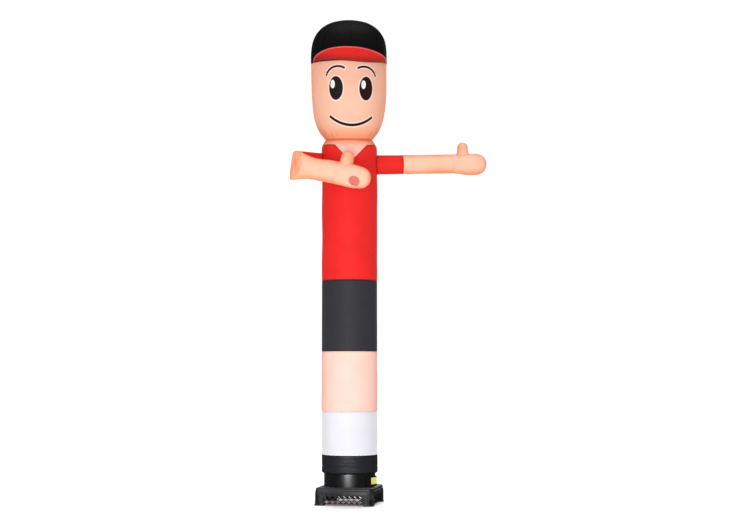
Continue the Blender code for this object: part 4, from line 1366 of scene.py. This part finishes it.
@dataclass(frozen=True)
class Arm:
    """What both arms share: sections from the body outward, a seam at the elbow side, and a hand."""

    label: str
    hand: Hand
    seed: int
    columns: int = 144

    def sections(self, run: Array) -> tuple[Array, Array, Array]:
        """The middle, the half depth vector and the half height vector at a distance along."""
        raise NotImplementedError

    def bounds(self) -> tuple[float, float, float, float]:
        """Distances of the root, a place outside the tube, the sleeve's end and the wrist."""
        raise NotImplementedError

    def armhole(self) -> bpy.types.Object:
        """The solid that cuts the shirt."""
        raise NotImplementedError

    def shoulder_drop(self, points: Array) -> Array:
        """Creases of the shirt round the armhole."""
        raise NotImplementedError

    def skin(self, turn: Array, run: Array, drop: Array | float = 0.0) -> Array:
        """Points of the limb's surface at an angle from its top and a distance along."""
        middle, across, up = self.sections(run)
        size = np.sqrt(np.linalg.norm(across, axis=-1) * np.linalg.norm(up, axis=-1))
        keep = (1.0 - drop / size)[:, None]
        return middle + keep * (up * np.cos(turn)[:, None] - across * np.sin(turn)[:, None])

    def build(self) -> None:
        """Make the sleeve, the forearm and the hand."""
        root, clear, cuff, wrist = self.bounds()
        sleeve = Panel(f"{self.label}_sleeve", Slot.RED, RED, self.columns, 44, ("shirt_panel", f"{self.label}_forearm"))
        fore = Panel(f"{self.label}_forearm", Slot.SKIN, ARM, self.columns, 84 if wrist - cuff > 0.5 else 60, (f"{self.label}_sleeve", f"{self.label}_hand"))
        shoulder, elbow, end = (
            Pucker(24, 0.0036, 0.026, self.seed, 0.0),
            Pucker(22, 0.0022, 0.018, self.seed + 1),
            Pucker(22, 0.0010, 0.016, self.hand.seed, 0.0008),
        )

        def place_sleeve(across: Array, along: Array) -> tuple[Array, Array, Array]:
            """Roll the sleeve from the shirt to its end."""
            turn = TAU * (across - 0.5)
            low, high = np.full_like(turn, root), np.full_like(turn, clear)
            start = BODY.meets(lambda run: self.skin(turn, run), low, high)
            share = crowded(sleeve.rows, 1.3)[np.rint(along * sleeve.rows).astype(int)]
            run = start + share * (cuff - GAP / 2 - start)
            below, above = run - start, cuff - run
            drop = shoulder.drop(turn, below) + elbow.drop(turn, above) + self.extra_drop(turn, run)
            drop = drop - 0.0040 * np.exp(-below / 0.006)
            creases = drop
            drop = drop - sway(turn, run, self.seed + 3, 0.0011) * np.clip(above / 0.05, 0.0, 1.0)
            cut = np.stack([turn * 0.0900, run], axis=1)
            return self.skin(turn, run, drop), cut, np.stack([below, above, creases, self.painted_shade_share(turn, run)], axis=1)

        def place_fore(across: Array, along: Array) -> tuple[Array, Array, Array]:
            """Roll the forearm from the sleeve's end to the wrist."""
            turn = TAU * (across - 0.5)
            share = crowded(fore.rows, 1.1)[np.rint(along * fore.rows).astype(int)]
            run = cuff + GAP / 2 + share * (wrist - cuff - GAP)
            below, above = run - cuff, wrist - run
            drop = elbow.drop(turn, below) + end.drop(turn, above) + self.extra_drop(turn, run)
            keep = np.clip(np.minimum(below, above) / 0.06, 0.0, 1.0)
            creases = drop
            drop = drop - sway(turn, run, self.seed + 4, 0.0012) * keep
            cut = np.stack([turn * 0.0900, run], axis=1)
            return self.skin(turn, run, drop), cut, np.stack([below, above, creases, self.painted_shade_share(turn, run)], axis=1)

        sleeve.sew(place_sleeve)
        fore.sew(place_fore)
        self.hand.build()

    def extra_drop(self, turn: Array, run: Array) -> Array:
        """Folds of this arm only."""
        return np.zeros_like(turn)

    def painted_shade_share(self, turn: Array, run: Array) -> Array:
        """The share of painted shade along the top and along the bottom."""
        return np.cos(turn) ** 2


STRAIGHT_LIMB = limb_matrix((0.0, 0.0, 3.148), 6.0, 1.65)


@dataclass(frozen=True)
class StraightArm(Arm):
    """The arm held out to the side."""

    rows: tuple[tuple[float, float], ...] = (
        # along the arm's axis from the tube's axis, radius
        (0.160, 0.0888),
        (0.330, 0.0888),
        (0.430, 0.0888),
        (0.509, 0.0893),
        (0.540, 0.0901),
        (0.620, 0.0895),
        (0.760, 0.0888),
        (0.978, 0.0886),
    )

    def sections(self, run: Array) -> tuple[Array, Array, Array]:
        """The middle, the half depth vector and the half height vector at a distance along."""
        table, turn = np.array(self.rows), np.array(STRAIGHT_LIMB.to_3x3())
        radius = curve(run, table[:, 0], table[:, 1])[:, None]
        origin = np.array(STRAIGHT_LIMB.translation)
        return origin + run[:, None] * turn[:, 0], radius * turn[:, 1], radius * turn[:, 2]

    def bounds(self) -> tuple[float, float, float, float]:
        """Distances of the root, a place outside the tube, the sleeve's end and the wrist."""
        return 0.160, 0.400, 0.500, 0.978

    def armhole(self) -> bpy.types.Object:
        """The solid that cuts the shirt."""
        stand = Matrix.Rotation(math.radians(90), 4, "Y") @ Matrix.Diagonal((0.0868, 0.0868, 1.0, 1.0))
        rings = [STRAIGHT_LIMB @ Matrix.Translation((x, 0.0, 0.0)) @ stand for x in (0.12, 0.40)]
        return tube_of("straight_armhole_cutter", rings, 64)

    def shoulder_drop(self, points: Array) -> Array:
        """Creases of the shirt round the armhole."""
        local = moved(points, STRAIGHT_LIMB.inverted())
        around, bearing = np.hypot(local[:, 1], local[:, 2]), np.arctan2(local[:, 1], local[:, 2])
        fold = Pucker(24, 0.0040, 0.030, self.seed, 0.0016).drop(bearing, around - 0.0900)
        return np.where(local[:, 0] > 0, fold, 0.0)


FORE_TURN = math.radians(-14.7)
FORE_LIMB = limb_matrix((0.3408 * math.sin(FORE_TURN), -0.3408 * math.cos(FORE_TURN), 3.0260), -14.7, -13.2)


@dataclass(frozen=True)
class FoldedArm(Arm):
    """The arm folded across the chest, flat and tall at its fold."""

    rows: tuple[tuple[float, ...], ...] = (
        # outer x, outer y, inner x, inner y, middle height, half height, lean of the section's top
        (-0.1830, 0.1450, -0.0700, -0.0010, 3.165, 0.0926, 0.0),
        (-0.3160, 0.0410, -0.2200, -0.0830, 3.163, 0.0960, 0.0),
        (-0.3900, -0.0180, -0.3200, -0.1150, 3.156, 0.1060, 1.0),
        (-0.4700, -0.0920, -0.4160, -0.1520, 3.145, 0.1180, 2.0),
        (-0.5190, -0.1500, -0.4840, -0.1730, 3.135, 0.1280, 4.5),
        (-0.5395, -0.1850, -0.5115, -0.1880, 3.123, 0.1310, 7.0),
        (-0.5410, -0.2020, -0.5145, -0.1960, 3.119, 0.1300, 7.0),
        (-0.5310, -0.2180, -0.5060, -0.2030, 3.115, 0.1290, 7.5),
        (-0.4950, -0.2440, -0.4720, -0.2030, 3.114, 0.1300, 8.5),
        (-0.4510, -0.2670, -0.4300, -0.2000, 3.107, 0.1220, 10.0),
        (-0.4080, -0.2890, -0.3830, -0.1990, 3.096, 0.1105, 12.0),
        (-0.3500, -0.3170, -0.3190, -0.1990, 3.0835, 0.1000, 13.0),
        (-0.2760, -0.3450, -0.2400, -0.2080, 3.0655, 0.1015, 13.2),
    )
    seam_row: int = 3
    fold_row: int = 6
    fore_oval: tuple[float, float] = (0.0735, 0.1045)
    fore_rows: tuple[float, float] = (-0.1250, -0.0230)

    def table(self) -> tuple[Array, Array]:
        """The distance of each section, and its middle, half depth and half height vectors."""
        lines = []
        for outer_x, outer_y, inner_x, inner_y, height, half, lean in self.rows:
            outer, inner = np.array((outer_x, outer_y, height)), np.array((inner_x, inner_y, height))
            up = np.array((math.sin(math.radians(lean)), 0.0, math.cos(math.radians(lean)))) * half
            lines.append(np.concatenate([(outer + inner) / 2, (inner - outer) / 2, up]))
        turn, origin = np.array(FORE_LIMB.to_3x3()), np.array(FORE_LIMB.translation)
        for along in self.fore_rows:
            middle = origin + along * turn[:, 0]
            lines.append(np.concatenate([middle, turn[:, 1] * self.fore_oval[0], turn[:, 2] * self.fore_oval[1]]))
        lines = np.array(lines)
        outer = lines[:, :3] - lines[:, 3:6] * 0.5
        return np.concatenate([[0.0], np.cumsum(np.linalg.norm(np.diff(outer, axis=0), axis=1))]), lines

    def sections(self, run: Array) -> tuple[Array, Array, Array]:
        """The middle, the half depth vector and the half height vector at a distance along."""
        steps, lines = self.table()
        found = curve(run, steps, lines, level=False)
        return found[:, :3], found[:, 3:6], found[:, 6:]

    def bounds(self) -> tuple[float, float, float, float]:
        """Distances of the root, a place outside the tube, the sleeve's end and the wrist."""
        steps, _ = self.table()
        return 0.0, float(steps[self.seam_row]), float(steps[self.seam_row]), float(steps[-1])

    def armhole(self) -> bpy.types.Object:
        """The solid that cuts the shirt."""
        _, lines = self.table()
        rings = []
        for line in lines[:2]:
            middle, across, up = (Vector(line[i : i + 3]) for i in (0, 3, 6))
            ahead = across.cross(up).normalized()
            columns = (-0.975 * up, 0.975 * across, ahead, middle)
            rings.append(Matrix([[column[i] for column in columns] for i in range(3)] + [[0, 0, 0, 1]]))
        return tube_of("folded_armhole_cutter", rings, 64)

    def shoulder_drop(self, points: Array) -> Array:
        """Creases of the shirt round the armhole."""
        _, lines = self.table()
        middle, across, up = (lines[1][i : i + 3] for i in (0, 3, 6))
        local = points - middle
        a, b = local @ across / (across @ across), local @ up / (up @ up)
        around, bearing = np.hypot(a, b), np.arctan2(a, b)
        fold = Pucker(24, 0.0040, 0.030, self.seed, 0.0016).drop(bearing, (around - 1.02) * 0.085)
        ahead = np.cross(across, up)
        return np.where(np.abs(local @ (ahead / np.linalg.norm(ahead))) < 0.16, fold, 0.0)

    def extra_drop(self, turn: Array, run: Array) -> Array:
        """Slanting folds on the outer side, where the arm bends."""
        steps, _ = self.table()
        rng = np.random.default_rng(77)
        total = np.zeros_like(turn)
        for _ in range(13):
            at = float(steps[self.fold_row]) + rng.normal(0.04, 0.050)
            height, slant, strength = rng.uniform(0.4, 2.6), rng.uniform(-0.030, 0.045), rng.uniform(0.4, 1.0)
            across = (run - at - slant * (turn - height)) / 0.006
            total = total + strength * np.exp(-(across**2)) * np.exp(-(((turn - height) / 0.55) ** 2))
        return 0.0042 * np.clip(total, 0.0, 1.2)

    def painted_shade_share(self, turn: Array, run: Array) -> Array:
        """The share of painted shade along the top and the bottom, and where the arm bends."""
        steps, _ = self.table()
        bend = np.exp(-(((run - float(steps[self.fold_row]) - 0.03) / 0.085) ** 2))
        return np.maximum(np.cos(turn) ** 2, bend)


STRAIGHT = StraightArm(
    "straight",
    Hand(
        "straight",
        STRAIGHT_LIMB,
        0.978,
        False,
        0.097,
        ((0.040, 0.0650), (0.088, 0.0610), (0.112, 0.0530), (0.160, 0.0490), (0.183, 0.0390), (0.199, 0.0170)),
        1.0,
        60,
    ),
    50,
)
FOLDED = FoldedArm(
    "folded",
    Hand(
        "folded",
        FORE_LIMB,
        -0.0230,
        True,
        0.066,
        ((0.040, 0.0590), (0.088, 0.0600), (0.118, 0.0610), (0.165, 0.0585), (0.195, 0.0470), (0.214, 0.0200)),
        -1.0,
        80,
    ),
    70,
)


# ---------------------------------------------------------------------------------- the blower


@dataclass(frozen=True)
class Blower:
    """The fan blower: a moulded base on four legs, an enamelled duct, guards and a switch box."""

    half: float = 0.267
    height: float = 0.162
    wall: float = 0.004
    corner: float = 0.045
    top_edge: float = 0.018
    turned: float = -11.65
    side: float = 0.0030
    arch: tuple[float, float, float] = (0.378, 0.094, 0.030)
    foot: tuple[float, float, float, float] = (0.096, 0.007, 0.009, 0.030)
    side_panel: tuple[float, float, float, float] = (0.462, 0.136, 0.007, 0.034)
    ring_radius: float = 0.2375
    ring_side: float = 0.0035
    ring_wall: float = 0.0025
    ring_top: float = 0.420
    guards: tuple[str, ...] = ("intake_guard_front", "intake_guard_right", "intake_guard_back", "intake_guard_left")

    def rounded_box(self, lower: Sequence[float], upper: Sequence[float], corner: float, edge: float = 0.0) -> bmesh.types.BMesh:
        """A box with rounded upright edges, and optionally a rounded top edge.

        Args:
            lower: Its lowest corner.
            upper: Its highest corner.
            corner: The radius of its upright edges.
            edge: The radius of its top edge.

        Returns:
            The bmesh.
        """
        bm = bmesh.new()
        size, middle = Vector(upper) - Vector(lower), (Vector(upper) + Vector(lower)) / 2
        bmesh.ops.create_cube(bm, size=1.0, matrix=Matrix.Translation(middle) @ Matrix.Diagonal((*size, 1.0)))
        upright = [e for e in bm.edges if abs((e.verts[0].co - e.verts[1].co).normalized().z) > 0.9]
        bmesh.ops.bevel(bm, geom=upright, offset=corner, segments=12, profile=0.5, affect="EDGES", material=-1)
        if edge:
            rim = [e for e in bm.edges if all(v.co.z > upper[2] - 1e-5 for v in e.verts)]
            bmesh.ops.bevel(bm, geom=rim, offset=edge, segments=8, profile=0.5, affect="EDGES", material=-1)
        return bm

    def place(self) -> Matrix:
        """The base's place on the ground, turned a little against the figure."""
        return Matrix.Translation(AXIS) @ Matrix.Translation((self.side, 0.0, 0.0)) @ Matrix.Rotation(math.radians(self.turned), 4, "Z")

    def panel(self, index: int) -> bpy.types.Object:
        """The raised panel on one side of the base, with a broad bevel and two round corners.

        Args:
            index: Which side.

        Returns:
            The panel, to be joined to the base.
        """
        wide, high, out, corner = self.side_panel
        bm = bmesh.new()
        size = Matrix.Diagonal((wide, 2.0 * out, high, 1.0))
        bmesh.ops.create_cube(bm, size=1.0, matrix=Matrix.Translation((0.0, -self.half, high / 2)) @ size)
        upper = [e for e in bm.edges if all(v.co.z > 0.01 for v in e.verts)]
        upper = [e for e in upper if abs((e.verts[0].co - e.verts[1].co).normalized().y) > 0.9]
        bmesh.ops.bevel(bm, geom=upper, offset=corner, segments=8, profile=0.5, affect="EDGES", material=-1)
        front = [e for e in bm.edges if all(v.co.y < -self.half - out / 2 for v in e.verts)]
        front = [e for e in front if any(v.co.z > 0.001 for v in e.verts)]
        bmesh.ops.bevel(bm, geom=front, offset=0.8 * out, segments=3, profile=0.5, affect="EDGES", material=-1)
        bm.transform(self.place() @ Matrix.Rotation(index * math.pi / 2, 4, "Z"))
        return shown(f"side_panel_{index}", bm)

    def build_base(self) -> None:
        """Make the moulded base: a rounded box open below, with arches, a lip round each and feet."""
        box = self.rounded_box((-self.half, -self.half, 0.0), (self.half, self.half, self.height), self.corner, self.top_edge)
        bmesh.ops.delete(box, geom=[f for f in box.faces if f.normal.z < -0.9], context="FACES_ONLY")
        box.transform(self.place())
        base = shown("moulded_base", box, [MOULDED.dress()])
        shell = base.modifiers.new("wall", "SOLIDIFY")
        shell.thickness, shell.offset, shell.use_even_offset = self.wall, -1.0, True
        settle(base, [self.panel(index) for index in range(4)], join=True)
        tools = []
        for index in (0, 1):
            wide, high, round_by = self.arch
            tunnel = bmesh.new()
            size = Matrix.Diagonal((wide, 0.8, high + self.wall, 1.0))
            bmesh.ops.create_cube(tunnel, size=1.0, matrix=Matrix.Translation((0.0, 0.0, (high - self.wall) / 2)) @ size)
            edges = [e for e in tunnel.edges if all(v.co.z > 0 for v in e.verts)]
            edges = [e for e in edges if abs((e.verts[0].co - e.verts[1].co).normalized().y) > 0.9]
            bmesh.ops.bevel(tunnel, geom=edges, offset=round_by, segments=8, profile=0.5, affect="EDGES", material=-1)
            tunnel.transform(self.place() @ Matrix.Rotation(index * math.pi / 2, 4, "Z"))
            tools.append(shown(f"arch_{index}", tunnel))
        bore = self.ring_radius - self.ring_wall
        shift = Matrix.Translation((self.side, 0.0, 0.0))
        rings = [shift @ Matrix.Translation((0, 0, z)) @ Matrix.Diagonal((bore, bore, 1, 1)) for z in (self.height - 0.012, self.height + 0.01)]
        tools.append(tube_of("ring_hole", rings, 128))
        settle(base, tools)
        size, high, out, round_by = self.foot
        middle = self.half + out - size / 2
        feet = bmesh.new()
        for x in (-middle, middle):
            for y in (-middle, middle):
                one = self.rounded_box((x - size / 2, y - size / 2, 0.0), (x + size / 2, y + size / 2, high), round_by, 0.002)
                mesh = bpy.data.meshes.new("foot")
                one.to_mesh(mesh)
                one.free()
                feet.from_mesh(mesh)
                bpy.data.meshes.remove(mesh)
        feet.transform(self.place())
        settle(base, [shown("feet", feet)], join=True, angle=35.0)
        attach(base, "root")
        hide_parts("blower_base")
        LOG.info("%s: %d faces", base.name, len(base.data.polygons))

    def build_duct(self) -> None:
        """Make the duct ring: rolled sheet with a turned lip at its foot and its top."""
        low, top, radius = self.height + GAP, self.ring_top, self.ring_radius
        profile = [(radius + 0.0035, low), (radius + 0.0035, low + 0.0035), (radius, low + 0.007), (radius, top - 0.004)]
        profile += [(radius - 0.0008, top), (radius - self.ring_wall, top), (radius - self.ring_wall, low)]
        bm = bmesh.new()
        verts = [bm.verts.new((r, 0.0, z)) for r, z in profile]
        edges = [bm.edges.new(pair) for pair in zip(verts, verts[1:] + verts[:1])]
        bmesh.ops.spin(bm, geom=verts + edges, cent=(0, 0, 0), axis=(0, 0, 1), dvec=(0, 0, 0), angle=TAU, steps=160, use_merge=True)
        bmesh.ops.remove_doubles(bm, verts=bm.verts, dist=1e-6)
        bmesh.ops.recalc_face_normals(bm, faces=bm.faces)
        bm.transform(Matrix.Translation(AXIS) @ Matrix.Translation((self.ring_side, 0.0, 0.0)))
        ring = shown("enamelled_duct", bm, [ENAMEL.dress()])
        settle(ring, angle=35.0)
        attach(ring, "root")
        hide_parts("duct_ring")
        LOG.info("%s: %d faces", ring.name, len(ring.data.polygons))

    def dress_rest(self) -> None:
        """Give the guards, the switch box and the plate their finishes."""
        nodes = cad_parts
        lattice = LATTICE.dress()
        wanted = [(name, lattice) for name in self.guards]
        wanted += [("switch_box", SWITCHES.dress()), ("switch_plate", YELLOW.dress())]
        for name, material in wanted:
            mesh = nodes[name].data
            mesh.materials.clear()
            mesh.materials.append(material)
            LOG.info("%s: dressed", name)

    def build(self) -> None:
        """Make the whole blower."""
        self.build_base()
        self.build_duct()
        self.dress_rest()


# ---------------------------------------------------------------------------------- the studio


@dataclass(frozen=True)
class Studio:
    """A white floor, soft light from the front and above, and the camera."""

    camera_at: tuple[float, float, float] = (-0.1098, -12.6128, 1.2849)
    pitch: float = 3.203
    yaw: float = 0.1118
    lens: float = 65.821
    shift: float = 0.036
    surround: float = 0.66
    mirrored: float = 0.08
    # The paper's glow for the camera, which fades to a painted contact shadow round the blower.
    lift: float = 0.47

    def lamp(self, name: str, at: Sequence[float], aim: Sequence[float], size: Sequence[float], power: float) -> None:
        """Place one soft light.

        Args:
            name: Its name.
            at: Its place.
            aim: What it points at.
            size: Its width and height.
            power: Its power in watts.
        """
        data = bpy.data.lights.new(name, "AREA")
        data.shape, data.energy = "RECTANGLE", power
        data.size, data.size_y = size
        lamp = bpy.data.objects.new(name, data)
        lamp.location = at
        lamp.rotation_euler = (Vector(aim) - Vector(at)).to_track_quat("-Z", "Y").to_euler()
        lamp.visible_camera = False
        bpy.context.scene.collection.objects.link(lamp)

    def build_floor(self) -> None:
        """Lay the seamless paper, which glows for the camera, with a painted contact shadow round the blower."""
        bm = bmesh.new()
        bmesh.ops.create_grid(bm, x_segments=1, y_segments=1, size=60.0)
        paper = Recipe(bpy.data.materials.new("white seamless paper"))
        # Matt paper, with a faint tooth of 4 mm
        tooth = paper.add("TexNoise", {"Vector": paper.add("TexCoord", out="Object"), "Scale": 250.0})
        colour = paper.add("Mix", {0: tooth, 6: linear("#f9f9f9"), 7: linear("#fcfcfc")}, 2, **TINT)
        # The paper's glow fades round the blower, so that a painted contact shadow shows.
        away = paper.add("VectorMath", (paper.add("TexCoord", out="Object"), AXIS), operation="SUBTRACT")
        away = paper.add("VectorMath", (away, (1.35, 0.60, 0.0)), operation="MULTIPLY")
        away = paper.add("VectorMath", (away,), "Value", operation="LENGTH")
        light = paper.add("MapRange", (away, 0.20, 0.56, 0.03, self.lift), **SMOOTH)
        light = paper.add("Math", (paper.add("LightPath", out="Is Camera Ray"), light), operation="MULTIPLY")
        values = {"Base Color": colour, "Roughness": 0.85, "Specular IOR Level": 0.2}
        material = paper.finish({**values, "Emission Color": linear("#ffffff"), "Emission Strength": light})
        floor = shown("paper_floor", bm, [material])
        floor.visible_glossy = False
        floor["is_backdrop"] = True

    def build(self) -> None:
        """Make the floor, the lights and the camera."""
        scene = bpy.context.scene
        self.build_floor()
        scene.world = bpy.data.worlds.new("studio")
        room = Recipe(scene.world)
        glossy, sight = (room.add("LightPath", out=ray) for ray in ("Is Glossy Ray", "Is Camera Ray"))
        strength = room.add("Math", (glossy, self.mirrored - self.surround, self.surround), operation="MULTIPLY_ADD")
        strength = room.add("Math", (sight, 1.05 - self.surround, strength), operation="MULTIPLY_ADD")
        room.finish({"Color": linear("#ffffff"), "Strength": strength})
        self.lamp("front softbox", (-1.0, -7.6, 2.7), (-0.3, 0.1, 2.0), (9.0, 3.8), 180.0)
        self.lamp("low softbox", (-0.95, -4.6, 0.8), (-0.37, 0.1, 0.35), (2.1, 1.0), 66.0)
        self.lamp("overhead softbox", (-0.2, -1.0, 8.5), (-0.2, 0.1, 1.5), (5.0, 5.0), 140.0)
        self.lamp("rear softbox", (1.5, 8.0, 4.0), (-0.2, 0.1, 2.0), (5.0, 5.0), 90.0)
        data = bpy.data.cameras.new("camera")
        data.lens, data.sensor_width, data.shift_y = self.lens, 36.0, self.shift
        data.clip_end = 200.0
        camera = bpy.data.objects.new("camera", data)
        camera.location = self.camera_at
        camera.rotation_euler = (math.radians(90.0 + self.pitch), 0.0, math.radians(self.yaw))
        scene.collection.objects.link(camera)
        scene.camera = camera
        scene.view_settings.view_transform = "Standard"


def corners() -> list[list[float]]:
    """The shown object's lowest and highest corners, as plain numbers."""
    return [[float(value) for value in corner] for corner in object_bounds()]


def main() -> None:
    """Build every sub-assembly in order, and log the blower's pieces."""
    logging.basicConfig(level=logging.INFO, format="%(message)s")
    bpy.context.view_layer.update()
    Studio().build()
    Blower().build()
    BODY.build_plain()
    BODY.build_shirt((STRAIGHT, FOLDED))
    BODY.build_neck()
    HEAD.build_head()
    HEAD.build_crown()
    HEAD.build_peak()
    STRAIGHT.build()
    FOLDED.build()


if __name__ == "__main__":
    main()
